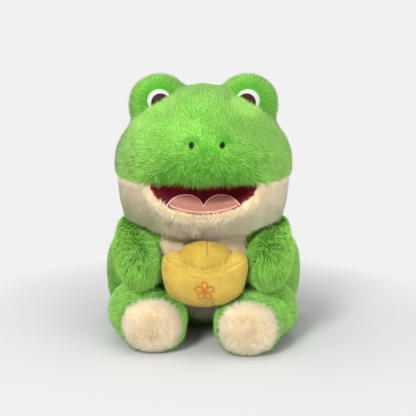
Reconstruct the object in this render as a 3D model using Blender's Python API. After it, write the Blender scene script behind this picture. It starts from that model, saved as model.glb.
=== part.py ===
"""Sitting plush frog that holds a small ingot cushion in its hands.

Units are metres, +Z is up and the frog faces -Y. The origin is the middle of
the flat seat, on the floor. Left and right are the frog's own, so left is +X.

Every soft form is a few swells (superellipsoids) that run into each other.
A skin is the shell of such a form, and a stuffing is its core. The smaller
forms are cut by the larger ones that they are sewn to.
"""
import math

import bmesh
import bpy
from mathutils import Matrix, Vector

# Cloth, seams and clearances
SKIN = 0.0026
THIN_SKIN = 0.0018
SEAM_GAP = 0.0003
FLAT_CUT = 0.0005
OVERRUN = 0.004

# Trunk
SEAT_RADII = (0.0960, 0.0460, 0.0500)
SEAT_BACK = 0.0080
BELLY_RADII = (0.0660, 0.0460, 0.0400)
BELLY_FRONT = 0.0280
BELLY_HEIGHT = 0.0660
CHEST_RADII = (0.0820, 0.0480, 0.0340)
CHEST_FRONT = 0.0180
SHOULDER_RISE = 0.0170
NECK_HEIGHT = 0.1015
NECK_HOLE_RADIUS = 0.0340
NECK_FRONT = 0.0220
BELLY_PANEL_TOP_HALF = 0.0400
BELLY_PANEL_FOOT_HALF = 0.0140
BELLY_PANEL_FOOT = 0.0230
BELLY_PANEL_WIDE = 0.0780

# Head, measured up from the neck seam and forwards from the neck's axis
SKULL_RADII = (0.0830, 0.0620, 0.0560)
SKULL_RISE = 0.0680
SKULL_BACK = 0.0020
CROWN_RADII = (0.0340, 0.0440, 0.0350)
CROWN_RISE = 0.1000
CROWN_FRONT = 0.0020
MUZZLE_RADII = (0.0640, 0.0420, 0.0290)
MUZZLE_RISE = 0.0570
MUZZLE_FRONT = 0.0280
JAW_RADII = (0.0755, 0.0540, 0.0320)
JAW_FRONT = 0.0160
NAPE_RADII = (0.0660, 0.0490, 0.0370)
NAPE_RISE = 0.0380
NAPE_BACK = 0.0160
CHEEK_SEAM_RISE = 0.0525
BACK_SEAM = 0.0270

# Eye bumps
BUMP_RADII = (0.0305, 0.0220, 0.0295)
BUMP_SPREAD = 0.0420
BUMP_BACK = 0.0115
BUMP_RISE = 0.1165

# Eyes and nostrils
EYE_SPREAD = 0.0415
EYE_LIFT = 0.0055
EYE_WHITE_RADIUS = 0.0115
IRIS_RADIUS = 0.0084
IRIS_INWARD = 0.0012
GLINT_RADIUS = 0.0016
GLINT_INWARD = 0.0048
GLINT_LIFT = 0.0018
EYE_WHITE_THICK = 0.0010
IRIS_THICK = 0.0008
GLINT_THICK = 0.0005
NOSTRIL_HALF = 0.0026
NOSTRIL_HALF_HEIGHT = 0.0032
NOSTRIL_SPREAD = 0.0136
NOSTRIL_OFFSET = 0.0030
NOSTRIL_RISE = 0.0850
NOSTRIL_THICK = 0.0008

# Mouth
MOUTH_HALF = 0.0500
MOUTH_DROP = 0.0285
MOUTH_DEPTH = 0.0400
MOUTH_FRONT = 0.0620
LINING = 0.0016
TONGUE_THICK = 0.0012
TONGUE_LOBE_HALF = 0.0178
TONGUE_LOBE_TALL = 0.0130
TONGUE_TOP_DROP = 0.0160
TONGUE_NOTCH = 0.0030
EDGING_WIDTH = 0.0020
EDGING_THICK = 0.0020

# Arms
SHOULDER_RADII = (0.0190, 0.0260, 0.0255)
SHOULDER_SPREAD = 0.0625
SHOULDER_FRONT = 0.0300
SHOULDER_DROP = 0.0045
FOREARM_RADII = (0.0210, 0.0260, 0.0220)
FOREARM_SPREAD = 0.0605
FOREARM_FRONT = 0.0560
FOREARM_DROP = 0.0120
HAND_RADII = (0.0180, 0.0180, 0.0190)
HAND_CLEARANCE = 0.0005
HAND_FRONT = 0.0800
HAND_DROP = 0.0080

# Legs
THIGH_RADII = (0.0330, 0.0340, 0.0295)
THIGH_SPREAD = 0.0515
THIGH_FRONT = 0.0520
FOOT_RADII = (0.0275, 0.0240, 0.0265)
FOOT_SPREAD = 0.0420
FEET_ASIDE = 0.0030
LEFT_FOOT_REACH = 0.1120
RIGHT_FOOT_REACH = 0.1040
SOLE_DOME = 0.0120

# Ingot cushion
BOAT_RADII = (0.0370, 0.0200, 0.0240)
BOAT_FRONT = 0.0900
BOAT_DROP = 0.0090
BOAT_OFFSET = 0.0010
WING_RADII = (0.0110, 0.0130, 0.0120)
WING_SPREAD = 0.0285
WING_LIFT = 0.0150
DOME_RADII = (0.0290, 0.0185, 0.0225)
DOME_BACK = 0.0010
DOME_LIFT = 0.0120
BLOSSOM_RADIUS = 0.0095
BLOSSOM_DROP = 0.0050
BLOSSOM_THICK = 0.0006

# Shares and counts
BLEND_SHARE = 9.0
ROUND_SHARE = 2.0
SEAT_FULL_SHARE = 3.0
CHEST_FULL_SHARE = 2.4
JAW_FULL_SHARE = 2.1
FOOT_FULL_SHARE = 2.5
BOAT_FULL_SHARE = 2.3
PETAL_DEPTH_SHARE = 0.3
PETALS = 5
REACH_SHARE = 3.0
WORKROOM_SHARE = 4.0
FINE = 6
MEDIUM = 3
COARSE = 1
HALVINGS = 36
PATCH_RINGS = 2
PATCH_SIDES = 16
OUTLINE_STEPS = 12
BOWL_STEPS = 18
TURNS = 36

SIDES = {"left": 1, "right": -1}
FOOT_REACH = {"left": LEFT_FOOT_REACH, "right": RIGHT_FOOT_REACH}

# Places that several pieces share
HALF_GAP = SEAM_GAP / 2
WIDE = WORKROOM_SHARE * SEAT_RADII[0]
MOUTH_ROOF = NECK_HEIGHT + CHEEK_SEAM_RISE
SHOULDER_HEIGHT = NECK_HEIGHT - SHOULDER_DROP
FOREARM_HEIGHT = SHOULDER_HEIGHT - FOREARM_DROP
HAND_HEIGHT = FOREARM_HEIGHT - HAND_DROP
BOAT_HEIGHT = HAND_HEIGHT - BOAT_DROP
HIP_HEIGHT = THIGH_RADII[2] - FLAT_CUT

# Cloths: name, colour as linear light, and roughness
GREEN_PLUSH = ("green_plush", (0.080, 0.420, 0.035), 0.90)
CREAM_PLUSH = ("cream_plush", (0.820, 0.680, 0.480), 0.92)
YELLOW_VELOUR = ("yellow_velour", (0.900, 0.600, 0.110), 0.85)
ORANGE_THREAD = ("orange_thread", (0.720, 0.210, 0.025), 0.55)
DARK_RED_VELOUR = ("dark_red_velour", (0.130, 0.005, 0.014), 0.90)
PINK_VELOUR = ("pink_velour", (0.780, 0.260, 0.290), 0.85)
PINK_SATIN = ("pink_satin", (0.860, 0.400, 0.420), 0.45)
WHITE_STITCH = ("white_stitch", (0.860, 0.860, 0.840), 0.50)
BROWN_STITCH = ("brown_stitch", (0.035, 0.012, 0.008), 0.35)
BLACK_STITCH = ("black_stitch", (0.008, 0.008, 0.010), 0.50)
WADDING = ("wadding", (0.800, 0.800, 0.780), 1.00)


def clear_scene():
    """Start from an empty scene."""
    for item in list(bpy.data.objects):
        bpy.data.objects.remove(item, do_unlink=True)


def cloth_material(cloth):
    """Return the plain material of one cloth, made when it is first asked for."""
    name, colour, roughness = cloth
    if name in bpy.data.materials:
        return bpy.data.materials[name]
    material = bpy.data.materials.new(name)
    material.use_nodes = True
    shader = material.node_tree.nodes["Principled BSDF"]
    shader.inputs["Base Color"].default_value = (*colour, 1.0)
    shader.inputs["Roughness"].default_value = roughness
    shader.inputs["Metallic"].default_value = 0.0
    material.diffuse_color = (*colour, 1.0)
    return material


class Swell:
    """One rounded lump: a superellipsoid with its own centre, radii and fullness."""

    def __init__(self, centre, radii, fullness=ROUND_SHARE):
        self.centre = Vector(centre)
        self.radii = radii
        self.fullness = fullness

    def level(self, point):
        """Return 0 at the centre and 1 on the lump's surface."""
        total = 0.0
        for value, middle, radius in zip(point, self.centre, self.radii):
            total += abs((value - middle) / radius) ** self.fullness
        return total ** (1.0 / self.fullness)


class Form:
    """A soft form: lumps that run into each other, seen from the form's heart."""

    def __init__(self, heart, swells):
        self.heart = Vector(heart)
        self.swells = swells
        self.far = REACH_SHARE * max(max(swell.radii) for swell in swells)

    def inside(self, point):
        """Tell whether the point lies within the run-together lumps."""
        total = sum(math.exp(BLEND_SHARE * (1.0 - swell.level(point))) for swell in self.swells)
        return total > 1.0

    def edge(self, start, direction, far):
        """Return how far the surface lies from a start point inside the form."""
        near = 0.0
        for _ in range(HALVINGS):
            middle = (near + far) / 2
            if self.inside(start + direction * middle):
                near = middle
            else:
                far = middle
        return near

    def place(self, direction, grow):
        """Return the surface point in one direction, pushed out by grow."""
        direction = Vector(direction).normalized()
        return self.heart + direction * (self.edge(self.heart, direction, self.far) + grow)

    def front(self, across, height):
        """Return the Y of the front surface at one place in the front view."""
        start = Vector((across, self.heart.y, height))
        return self.heart.y - self.edge(start, Vector((0, -1, 0)), self.far)


def mesh_object(name, bm, cloth=None, joint=None):
    """Turn a bmesh into an object with its origin on its joint; one without a cloth is a cutter."""
    bmesh.ops.triangulate(bm, faces=bm.faces)
    mesh = bpy.data.meshes.new(name)
    if joint is not None:
        bmesh.ops.translate(bm, verts=bm.verts, vec=-joint.location)
    bm.to_mesh(mesh)
    bm.free()
    mesh.shade_smooth()
    item = bpy.data.objects.new(name, mesh)
    bpy.context.collection.objects.link(item)
    if joint is not None:
        item.parent = joint
    if cloth is not None:
        mesh.materials.append(cloth_material(cloth))
    else:
        item.hide_render = True
        item.display_type = "WIRE"
    return item


def unit_ball(cuts):
    """Return a ball of radius 1 made of even triangles, its edges cut this many times."""
    bm = bmesh.new()
    bmesh.ops.create_icosphere(bm, subdivisions=1, radius=1.0)
    bmesh.ops.subdivide_edges(bm, edges=bm.edges, cuts=cuts, use_grid_fill=True)
    for vert in bm.verts:
        vert.co.normalize()
    return bm


def add_surface(bm, form, fineness, grow, inward=False):
    """Add the closed surface of a form, pushed out by grow."""
    ball = unit_ball(fineness)
    placed = [bm.verts.new(form.place(vert.co, grow)) for vert in ball.verts]
    for face in ball.faces:
        corners = [placed[vert.index] for vert in face.verts]
        bm.faces.new(reversed(corners) if inward else corners)
    ball.free()


def solid_mesh(form, fineness):
    """Return a form as one solid, which its cuts make hollow."""
    bm = bmesh.new()
    add_surface(bm, form, fineness, 0)
    return bm


def shell_mesh(form, thickness, fineness, inner_fineness):
    """Return a form's hollow skin, which its cuts open at the seams."""
    bm = bmesh.new()
    add_surface(bm, form, fineness, 0)
    add_surface(bm, form, inner_fineness, -thickness, inward=True)
    return bm


def core_mesh(form, thickness, fineness):
    """Return the stuffing that fills a skin, one seam gap smaller."""
    bm = bmesh.new()
    add_surface(bm, form, fineness, -thickness - SEAM_GAP)
    return bm


def form_cutter(name, form, fineness, grow=SEAM_GAP):
    """Return the cutter that keeps a smaller form clear of a larger one."""
    bm = bmesh.new()
    add_surface(bm, form, fineness, grow)
    return mesh_object(name, bm)


def box_cutter(name, low, high):
    """Return a box cutter between two corners."""
    bm = bmesh.new()
    size = Vector(high) - Vector(low)
    middle = (Vector(high) + Vector(low)) / 2
    bmesh.ops.create_cube(bm, size=1.0, matrix=Matrix.Translation(middle) @ Matrix.Diagonal((*size, 1.0)))
    return mesh_object(name, bm)


def prism_mesh(outline, low=-WIDE, high=WIDE):
    """Return a prism: an outline drawn in the front view, run along Y."""
    bm = bmesh.new()
    rings = [[bm.verts.new((across, run, up)) for across, up in outline] for run in (low, high)]
    bm.faces.new(rings[0])
    bm.faces.new(list(reversed(rings[1])))
    for index in range(len(outline)):
        after = (index + 1) % len(outline)
        bm.faces.new((rings[0][after], rings[0][index], rings[1][index], rings[1][after]))
    bmesh.ops.recalc_face_normals(bm, faces=bm.faces)
    return bm


def turned_mesh(profile):
    """Return a closed turned solid about the neck's upright axis."""
    bm = bmesh.new()
    grown = 1.0 / math.cos(math.pi / TURNS)
    rings = []
    for radius, height in profile:
        ring = []
        for index in range(TURNS):
            angle = math.tau * index / TURNS
            across = radius * grown * math.cos(angle)
            along = -NECK_FRONT + radius * grown * math.sin(angle)
            ring.append(bm.verts.new((across, along, height)))
        rings.append(ring)
    for lower, upper in zip(rings, rings[1:]):
        for index in range(TURNS):
            after = (index + 1) % TURNS
            bm.faces.new((lower[index], lower[after], upper[after], upper[index]))
    bm.faces.new(list(reversed(rings[0])))
    bm.faces.new(rings[-1])
    return bm


def cut(item, cutter, operation="DIFFERENCE"):
    """Cut an object by a cutter, or keep only what lies inside the cutter."""
    modifier = item.modifiers.new(cutter.name, "BOOLEAN")
    modifier.operation = operation
    modifier.solver = "EXACT"
    modifier.object = cutter


def circle(radius, height=None, sides=PATCH_SIDES):
    """Return a round or oval outline about its own middle."""
    tall = radius if height is None else height
    turns = [math.tau * index / sides for index in range(sides)]
    return [(radius * math.cos(turn), tall * math.sin(turn)) for turn in turns]


def blossom_outline():
    """Return a round outline with one soft bulge for each petal."""
    points = []
    sides = PATCH_SIDES * 2
    for index in range(sides):
        turn = math.tau * index / sides
        dip = PETAL_DEPTH_SHARE * (1 - abs(math.sin(PETALS * turn / 2)))
        radius = BLOSSOM_RADIUS * (1 - dip)
        points.append((radius * math.sin(turn), radius * math.cos(turn)))
    return points


def patch_mesh(form, centre, outline, lift, thickness):
    """Return a thin sewn patch that follows the front of a form."""
    bm = bmesh.new()
    layers = []
    for depth in (lift, lift + thickness):
        hub = bm.verts.new((centre[0], form.front(*centre) - depth, centre[1]))
        rings = []
        for step in range(1, PATCH_RINGS + 1):
            share = step / PATCH_RINGS
            ring = []
            for across, up in outline:
                place = (centre[0] + across * share, centre[1] + up * share)
                ring.append(bm.verts.new((place[0], form.front(*place) - depth, place[1])))
            rings.append(ring)
        layers.append((hub, rings))
    count = len(outline)
    for hub, rings in layers:
        for index in range(count):
            after = (index + 1) % count
            bm.faces.new((hub, rings[0][index], rings[0][after]))
            for inner, outer in zip(rings, rings[1:]):
                bm.faces.new((inner[index], outer[index], outer[after], inner[after]))
    rims = [rings[-1] for _, rings in layers]
    for index in range(count):
        after = (index + 1) % count
        bm.faces.new((rims[0][index], rims[0][after], rims[1][after], rims[1][index]))
    bmesh.ops.recalc_face_normals(bm, faces=bm.faces)
    return bm


def add_joint(name, place):
    """Return the empty that marks a joint; its body hangs on it."""
    joint = bpy.data.objects.new(name, None)
    joint.location = place
    bpy.context.collection.objects.link(joint)
    return joint


def trunk_form():
    """Return the pear-shaped body, broad at the seat and drawn in at the chest."""
    seat_height = SEAT_RADII[2] - FLAT_CUT
    chest_height = NECK_HEIGHT + SHOULDER_RISE - CHEST_RADII[2]
    return Form((0, -CHEST_FRONT, BELLY_HEIGHT), (
        Swell((0, SEAT_BACK, seat_height), SEAT_RADII, SEAT_FULL_SHARE),
        Swell((0, -BELLY_FRONT, BELLY_HEIGHT), BELLY_RADII),
        Swell((0, -CHEST_FRONT, chest_height), CHEST_RADII, CHEST_FULL_SHARE),
    ))


def from_neck(across, forwards, rise):
    """Return a place measured from where the neck's axis meets the neck seam."""
    return Vector((across, -NECK_FRONT - forwards, NECK_HEIGHT + rise))


def head_form():
    """Return the broad head: skull, narrow crown, forward muzzle, full jaw and nape."""
    jaw_rise = JAW_RADII[2] - FLAT_CUT
    return Form(from_neck(0, JAW_FRONT, SKULL_RISE), (
        Swell(from_neck(0, -SKULL_BACK, SKULL_RISE), SKULL_RADII),
        Swell(from_neck(0, CROWN_FRONT, CROWN_RISE), CROWN_RADII),
        Swell(from_neck(0, MUZZLE_FRONT, MUZZLE_RISE), MUZZLE_RADII),
        Swell(from_neck(0, JAW_FRONT, jaw_rise), JAW_RADII, JAW_FULL_SHARE),
        Swell(from_neck(0, -NAPE_BACK, NAPE_RISE), NAPE_RADII),
    ))


def bump_form(side):
    """Return one round eye bump on top of the head."""
    centre = from_neck(side * BUMP_SPREAD, -BUMP_BACK, BUMP_RISE)
    return Form(centre, (Swell(centre, BUMP_RADII),))


def arm_form(side):
    """Return one arm: shoulder, forearm and round hand beside the ingot."""
    hand_spread = BOAT_RADII[0] + BOAT_OFFSET + HAND_CLEARANCE + HAND_RADII[0]
    forearm = (side * FOREARM_SPREAD, -FOREARM_FRONT, FOREARM_HEIGHT)
    return Form(forearm, (
        Swell((side * SHOULDER_SPREAD, -SHOULDER_FRONT, SHOULDER_HEIGHT), SHOULDER_RADII),
        Swell(forearm, FOREARM_RADII),
        Swell((side * hand_spread, -HAND_FRONT, HAND_HEIGHT), HAND_RADII),
    ))


def leg_form(name, side):
    """Return one short leg: a thigh that runs into a round foot on the floor."""
    thigh = (side * THIGH_SPREAD, -THIGH_FRONT, HIP_HEIGHT)
    foot_front = FOOT_REACH[name] - FOOT_RADII[1]
    foot = (side * FOOT_SPREAD - FEET_ASIDE, -foot_front, FOOT_RADII[2] - FLAT_CUT)
    return Form(foot, (
        Swell(thigh, THIGH_RADII),
        Swell(foot, FOOT_RADII, FOOT_FULL_SHARE),
    ))


def boat_form():
    """Return the ingot's boat: a rounded hull with two raised wing tips."""
    heart = (BOAT_OFFSET, -BOAT_FRONT, BOAT_HEIGHT)
    swells = [Swell(heart, BOAT_RADII, BOAT_FULL_SHARE)]
    for side in SIDES.values():
        tip = (BOAT_OFFSET + side * WING_SPREAD, -BOAT_FRONT, BOAT_HEIGHT + WING_LIFT)
        swells.append(Swell(tip, WING_RADII))
    return Form(heart, swells)


def dome_form():
    """Return the round dome that stands in the ingot's boat."""
    centre = (BOAT_OFFSET, -BOAT_FRONT + DOME_BACK, BOAT_HEIGHT + DOME_LIFT)
    return Form(centre, (Swell(centre, DOME_RADII),))


def belly_outline(grow):
    """Return the belly panel's outline in the front view, wide above and narrow below."""
    top = NECK_HEIGHT + OVERRUN
    foot_half = BELLY_PANEL_FOOT_HALF + grow
    top_half = BELLY_PANEL_TOP_HALF + grow
    side = [(top_half, top)]
    for step in range(OUTLINE_STEPS + 1):
        share = step / OUTLINE_STEPS
        ease = (1 + math.cos(math.pi * share)) / 2
        height = BELLY_PANEL_WIDE + (BELLY_PANEL_FOOT - BELLY_PANEL_WIDE) * share
        side.append((foot_half + (top_half - foot_half) * ease, height))
    for step in range(1, OUTLINE_STEPS):
        turn = math.pi * step / OUTLINE_STEPS
        side.append((foot_half * math.cos(turn), BELLY_PANEL_FOOT - foot_half * math.sin(turn)))
    half = side[:OUTLINE_STEPS + 2]
    side.extend((-across, height) for across, height in reversed(half))
    return side


def swept_bowl(name, grow=0):
    """Return the turned room that the head's underside sweeps as it turns, pushed out by grow."""
    form = head_form()
    floor_height = NECK_HEIGHT - HALF_GAP

    def height_at(step):
        """Return the height of a step, with the first steps close together."""
        return floor_height + CHEEK_SEAM_RISE * (1 - math.cos(math.pi / 2 * step / BOWL_STEPS))

    profile = []
    for step in range(BOWL_STEPS):
        start = Vector((0, -NECK_FRONT, (height_at(step) + height_at(step + 1)) / 2))
        widest = 0.0
        for index in range(TURNS):
            angle = math.tau * index / TURNS
            direction = Vector((math.cos(angle), math.sin(angle), 0))
            widest = max(widest, form.edge(start, direction, form.far))
        profile.append((widest + SEAM_GAP, height_at(step)))
    profile.append((profile[-1][0], height_at(BOWL_STEPS)))
    grown = []
    for radius, height in profile:
        push = Vector((radius, height - MOUTH_ROOF)).normalized() * grow
        grown.append((radius + push.x, height + push.y))
    return mesh_object(name, turned_mesh(grown))


def mouth_mesh(shrink):
    """Return the ball whose lower half is the mouth, drawn in by shrink."""
    bm = unit_ball(MEDIUM)
    radii = (MOUTH_HALF - shrink, MOUTH_DEPTH - shrink, MOUTH_DROP - shrink)
    middle = from_neck(0, MOUTH_FRONT, CHEEK_SEAM_RISE)
    for vert in bm.verts:
        vert.co = middle + Vector([share * radius for share, radius in zip(vert.co, radii)])
    return bm


def tongue_outline(grow):
    """Return the two-lobed tongue in the front view, with its foot below the lip."""
    half = TONGUE_LOBE_HALF + grow
    tall = TONGUE_LOBE_TALL + grow
    base = MOUTH_ROOF - TONGUE_TOP_DROP - TONGUE_LOBE_TALL
    foot = base - MOUTH_DROP
    notch_turn = math.acos((TONGUE_LOBE_HALF - TONGUE_NOTCH / 2) / half)
    points = []
    for side in (1, -1):
        lobe = []
        for step in range(OUTLINE_STEPS + 1):
            turn = (math.pi - notch_turn) * step / OUTLINE_STEPS
            lobe.append((side * (TONGUE_LOBE_HALF + half * math.cos(turn)), base + tall * math.sin(turn)))
        if side < 0:
            lobe.reverse()
        points.extend(lobe)
    full = 2 * TONGUE_LOBE_HALF + grow
    points.append((-full, foot))
    points.append((full, foot))
    return points


def cut_all(items, *cutters):
    """Cut each of the objects by each of the cutters."""
    for item in items:
        for cutter in cutters:
            cut(item, cutter)


def build_trunk(floor, head_sweep):
    """Make the body: green skin that also lines the head's seat, cream belly panel and stuffing."""
    trunk = trunk_form()
    hole = mesh_object("belly_hole_cutter", prism_mesh(belly_outline(HALF_GAP), high=-CHEST_FRONT))
    keep = mesh_object("belly_panel_cutter", prism_mesh(belly_outline(-HALF_GAP), high=-CHEST_FRONT))
    hollow = form_cutter("trunk_hollow_cutter", trunk, MEDIUM, -SKIN)
    cut(hollow, swept_bowl("collar_cutter", SKIN))
    skin = mesh_object("body_skin", solid_mesh(trunk, FINE), GREEN_PLUSH)
    panel = mesh_object("belly_panel", shell_mesh(trunk, SKIN, FINE, MEDIUM), CREAM_PLUSH)
    stuffing = mesh_object("body_stuffing", core_mesh(trunk, SKIN, MEDIUM), WADDING)
    cut_all((skin,), floor, head_sweep, hollow, hole)
    cut(panel, keep, "INTERSECT")
    cut(panel, head_sweep)
    cut(stuffing, swept_bowl("stuffing_bowl_cutter", SKIN + SEAM_GAP))


def build_head(neck, mouth_room):
    """Make the head: crown, jaw and back skins that meet at the cheek seam, and stuffing."""
    head = head_form()
    back_seam = BACK_SEAM - NECK_FRONT
    upper = box_cutter("crown_cutter", (-WIDE, -WIDE, MOUTH_ROOF + HALF_GAP), (WIDE, WIDE, WIDE))
    lower_front = box_cutter(
        "jaw_cutter", (-WIDE, -WIDE, -WIDE), (WIDE, back_seam - HALF_GAP, MOUTH_ROOF - HALF_GAP))
    lower_back = box_cutter(
        "back_cutter", (-WIDE, back_seam + HALF_GAP, -WIDE), (WIDE, WIDE, MOUTH_ROOF - HALF_GAP))
    below_neck = box_cutter(
        "below_neck_cutter", (-WIDE, -WIDE, -WIDE), (WIDE, WIDE, NECK_HEIGHT + HALF_GAP))
    neck_ends = ((NECK_HOLE_RADIUS, NECK_HEIGHT - OVERRUN), (NECK_HOLE_RADIUS, MOUTH_ROOF))
    neck_hole = mesh_object("neck_hole_cutter", turned_mesh(neck_ends))

    crown = mesh_object("head_crown_skin", shell_mesh(head, SKIN, FINE, MEDIUM), GREEN_PLUSH, neck)
    jaw = mesh_object("jaw_skin", shell_mesh(head, SKIN, FINE, MEDIUM), CREAM_PLUSH, neck)
    back = mesh_object("head_back_skin", shell_mesh(head, SKIN, FINE, MEDIUM), GREEN_PLUSH, neck)
    stuffing = mesh_object("head_stuffing", core_mesh(head, SKIN, MEDIUM), WADDING, neck)
    cut(crown, upper, "INTERSECT")
    cut(jaw, lower_front, "INTERSECT")
    cut(back, lower_back, "INTERSECT")
    cut_all((jaw, back), below_neck, neck_hole)
    cut_all((jaw,), mouth_room)
    cut_all((stuffing,), below_neck, mouth_room)


def build_mouth(neck):
    """Make the open mouth: velour pocket, tongue, and the satin edging round the tongue."""
    head_trim = form_cutter("head_trim_cutter", head_form(), FINE, 0)
    below_roof = box_cutter("mouth_roof_cutter", (-WIDE, -WIDE, -WIDE), (WIDE, WIDE, MOUTH_ROOF - HALF_GAP))
    below_lining = box_cutter(
        "mouth_hollow_roof", (-WIDE, -WIDE, -WIDE), (WIDE, WIDE, MOUTH_ROOF - HALF_GAP - LINING))
    hollow = mesh_object("mouth_hollow_cutter", mouth_mesh(LINING))
    cut(hollow, below_lining, "INTERSECT")
    lining = mesh_object("mouth_lining", mouth_mesh(0), DARK_RED_VELOUR, neck)
    cut(lining, below_roof, "INTERSECT")
    cut(lining, hollow)

    bed = LINING + SEAM_GAP
    tongue_keep = mesh_object("tongue_shape_cutter", prism_mesh(tongue_outline(0)))
    above_tongue = mesh_object("tongue_hollow_cutter", mouth_mesh(bed + TONGUE_THICK))
    tongue = mesh_object("tongue", mouth_mesh(bed), PINK_VELOUR, neck)
    cut(tongue, tongue_keep, "INTERSECT")
    cut(tongue, above_tongue)

    edge_outer = mesh_object("edging_outer_cutter", prism_mesh(tongue_outline(SEAM_GAP + EDGING_WIDTH)))
    edge_inner = mesh_object("edging_inner_cutter", prism_mesh(tongue_outline(SEAM_GAP)))
    above_edging = mesh_object("edging_hollow_cutter", mouth_mesh(bed + EDGING_THICK))
    edging = mesh_object("tongue_edging", mouth_mesh(bed), PINK_SATIN, neck)
    cut(edging, edge_outer, "INTERSECT")
    cut(edging, above_edging)
    cut(edging, edge_inner)
    for piece in (lining, tongue, edging):
        cut(piece, head_trim, "INTERSECT")


def build_eye(name, side, neck, head_room):
    """Make one eye bump with its stuffing, and the white, iris and glint on its front."""
    bump = bump_form(side)
    skin = mesh_object(f"eye_bump_{name}_skin", shell_mesh(bump, SKIN, MEDIUM, COARSE), GREEN_PLUSH, neck)
    core = mesh_object(f"eye_bump_{name}_stuffing", core_mesh(bump, SKIN, COARSE), WADDING, neck)

    middle = (side * EYE_SPREAD, bump.heart.z + EYE_LIFT)
    pupil = (middle[0] - side * IRIS_INWARD, middle[1])
    spot = (pupil[0] - side * GLINT_INWARD, pupil[1] + GLINT_LIFT)
    white = patch_mesh(bump, middle, circle(EYE_WHITE_RADIUS), SEAM_GAP, EYE_WHITE_THICK)
    iris_bed = SEAM_GAP + EYE_WHITE_THICK + SEAM_GAP
    iris = patch_mesh(bump, pupil, circle(IRIS_RADIUS), iris_bed, IRIS_THICK)
    glint_bed = iris_bed + IRIS_THICK + SEAM_GAP
    glint = patch_mesh(bump, spot, circle(GLINT_RADIUS, sides=PATCH_SIDES // 2), glint_bed, GLINT_THICK)
    discs = (
        mesh_object(f"eye_white_{name}", white, WHITE_STITCH, neck),
        mesh_object(f"iris_{name}", iris, BROWN_STITCH, neck),
        mesh_object(f"eye_glint_{name}", glint, WHITE_STITCH, neck),
    )
    cut_all((skin, core, *discs), head_room)


def build_nostril(name, side, neck):
    """Make one stitched nostril on the front of the muzzle."""
    place = (NOSTRIL_OFFSET + side * NOSTRIL_SPREAD, NECK_HEIGHT + NOSTRIL_RISE)
    oval = circle(NOSTRIL_HALF, NOSTRIL_HALF_HEIGHT, PATCH_SIDES // 2)
    patch = patch_mesh(head_form(), place, oval, SEAM_GAP, NOSTRIL_THICK)
    mesh_object(f"nostril_{name}", patch, BLACK_STITCH, neck)


def build_arm(name, side, rooms):
    """Make one arm, sewn to the trunk and hinged at the outer back edge of its shoulder."""
    hinge_spread = SHOULDER_SPREAD + SHOULDER_RADII[0]
    hinge = (side * hinge_spread, SHOULDER_RADII[1] - SHOULDER_FRONT, SHOULDER_HEIGHT)
    shoulder = add_joint(f"shoulder_joint_{name}", Vector(hinge))
    arm = arm_form(side)
    skin = mesh_object(f"arm_{name}_skin", shell_mesh(arm, SKIN, MEDIUM, COARSE), GREEN_PLUSH, shoulder)
    core = mesh_object(f"arm_{name}_stuffing", core_mesh(arm, SKIN, COARSE), WADDING, shoulder)
    cut_all((skin, core), *rooms)


def build_leg(name, side, floor, trunk_room):
    """Make one leg with its sole, sewn to the trunk and hinged at the outer back edge of its thigh."""
    hinge_spread = THIGH_SPREAD + THIGH_RADII[0]
    hinge = (side * hinge_spread, THIGH_RADII[1] - THIGH_FRONT, HIP_HEIGHT)
    hip = add_joint(f"hip_joint_{name}", Vector(hinge))
    leg = leg_form(name, side)
    seam = -FOOT_REACH[name] + SOLE_DOME
    behind_seam = box_cutter(f"leg_{name}_cutter", (-WIDE, seam + HALF_GAP, -WIDE), (WIDE, WIDE, WIDE))
    before_seam = box_cutter(f"sole_{name}_cutter", (-WIDE, -WIDE, -WIDE), (WIDE, seam - HALF_GAP, WIDE))
    skin = mesh_object(f"leg_{name}_skin", shell_mesh(leg, SKIN, MEDIUM, COARSE), GREEN_PLUSH, hip)
    sole = mesh_object(f"sole_{name}", shell_mesh(leg, SKIN, MEDIUM, COARSE), CREAM_PLUSH, hip)
    core = mesh_object(f"leg_{name}_stuffing", core_mesh(leg, SKIN, COARSE), WADDING, hip)
    cut(skin, behind_seam, "INTERSECT")
    cut(sole, before_seam, "INTERSECT")
    cut_all((skin, sole), floor)
    cut_all((skin, core), trunk_room)


def build_ingot(rooms):
    """Make the ingot cushion in the hands: boat, dome, stuffing and a stitched blossom."""
    boat = boat_form()
    dome = dome_form()
    boat_room = form_cutter("boat_cutter", boat, MEDIUM)
    dome_room = form_cutter("dome_cutter", dome, MEDIUM)
    boat_skin = mesh_object("ingot_boat_skin", shell_mesh(boat, THIN_SKIN, MEDIUM, COARSE), YELLOW_VELOUR)
    dome_skin = mesh_object("ingot_dome_skin", shell_mesh(dome, THIN_SKIN, MEDIUM, COARSE), YELLOW_VELOUR)
    stuffing = mesh_object("ingot_stuffing", core_mesh(boat, THIN_SKIN, COARSE), WADDING)
    cut_all((boat_skin, stuffing), dome_room)
    cut_all((dome_skin,), boat_room)
    cut_all((boat_skin, dome_skin, stuffing), *rooms)
    place = (BOAT_OFFSET, BOAT_HEIGHT - BLOSSOM_DROP)
    blossom = patch_mesh(boat, place, blossom_outline(), SEAM_GAP, BLOSSOM_THICK)
    mesh_object("ingot_blossom", blossom, ORANGE_THREAD)


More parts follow.
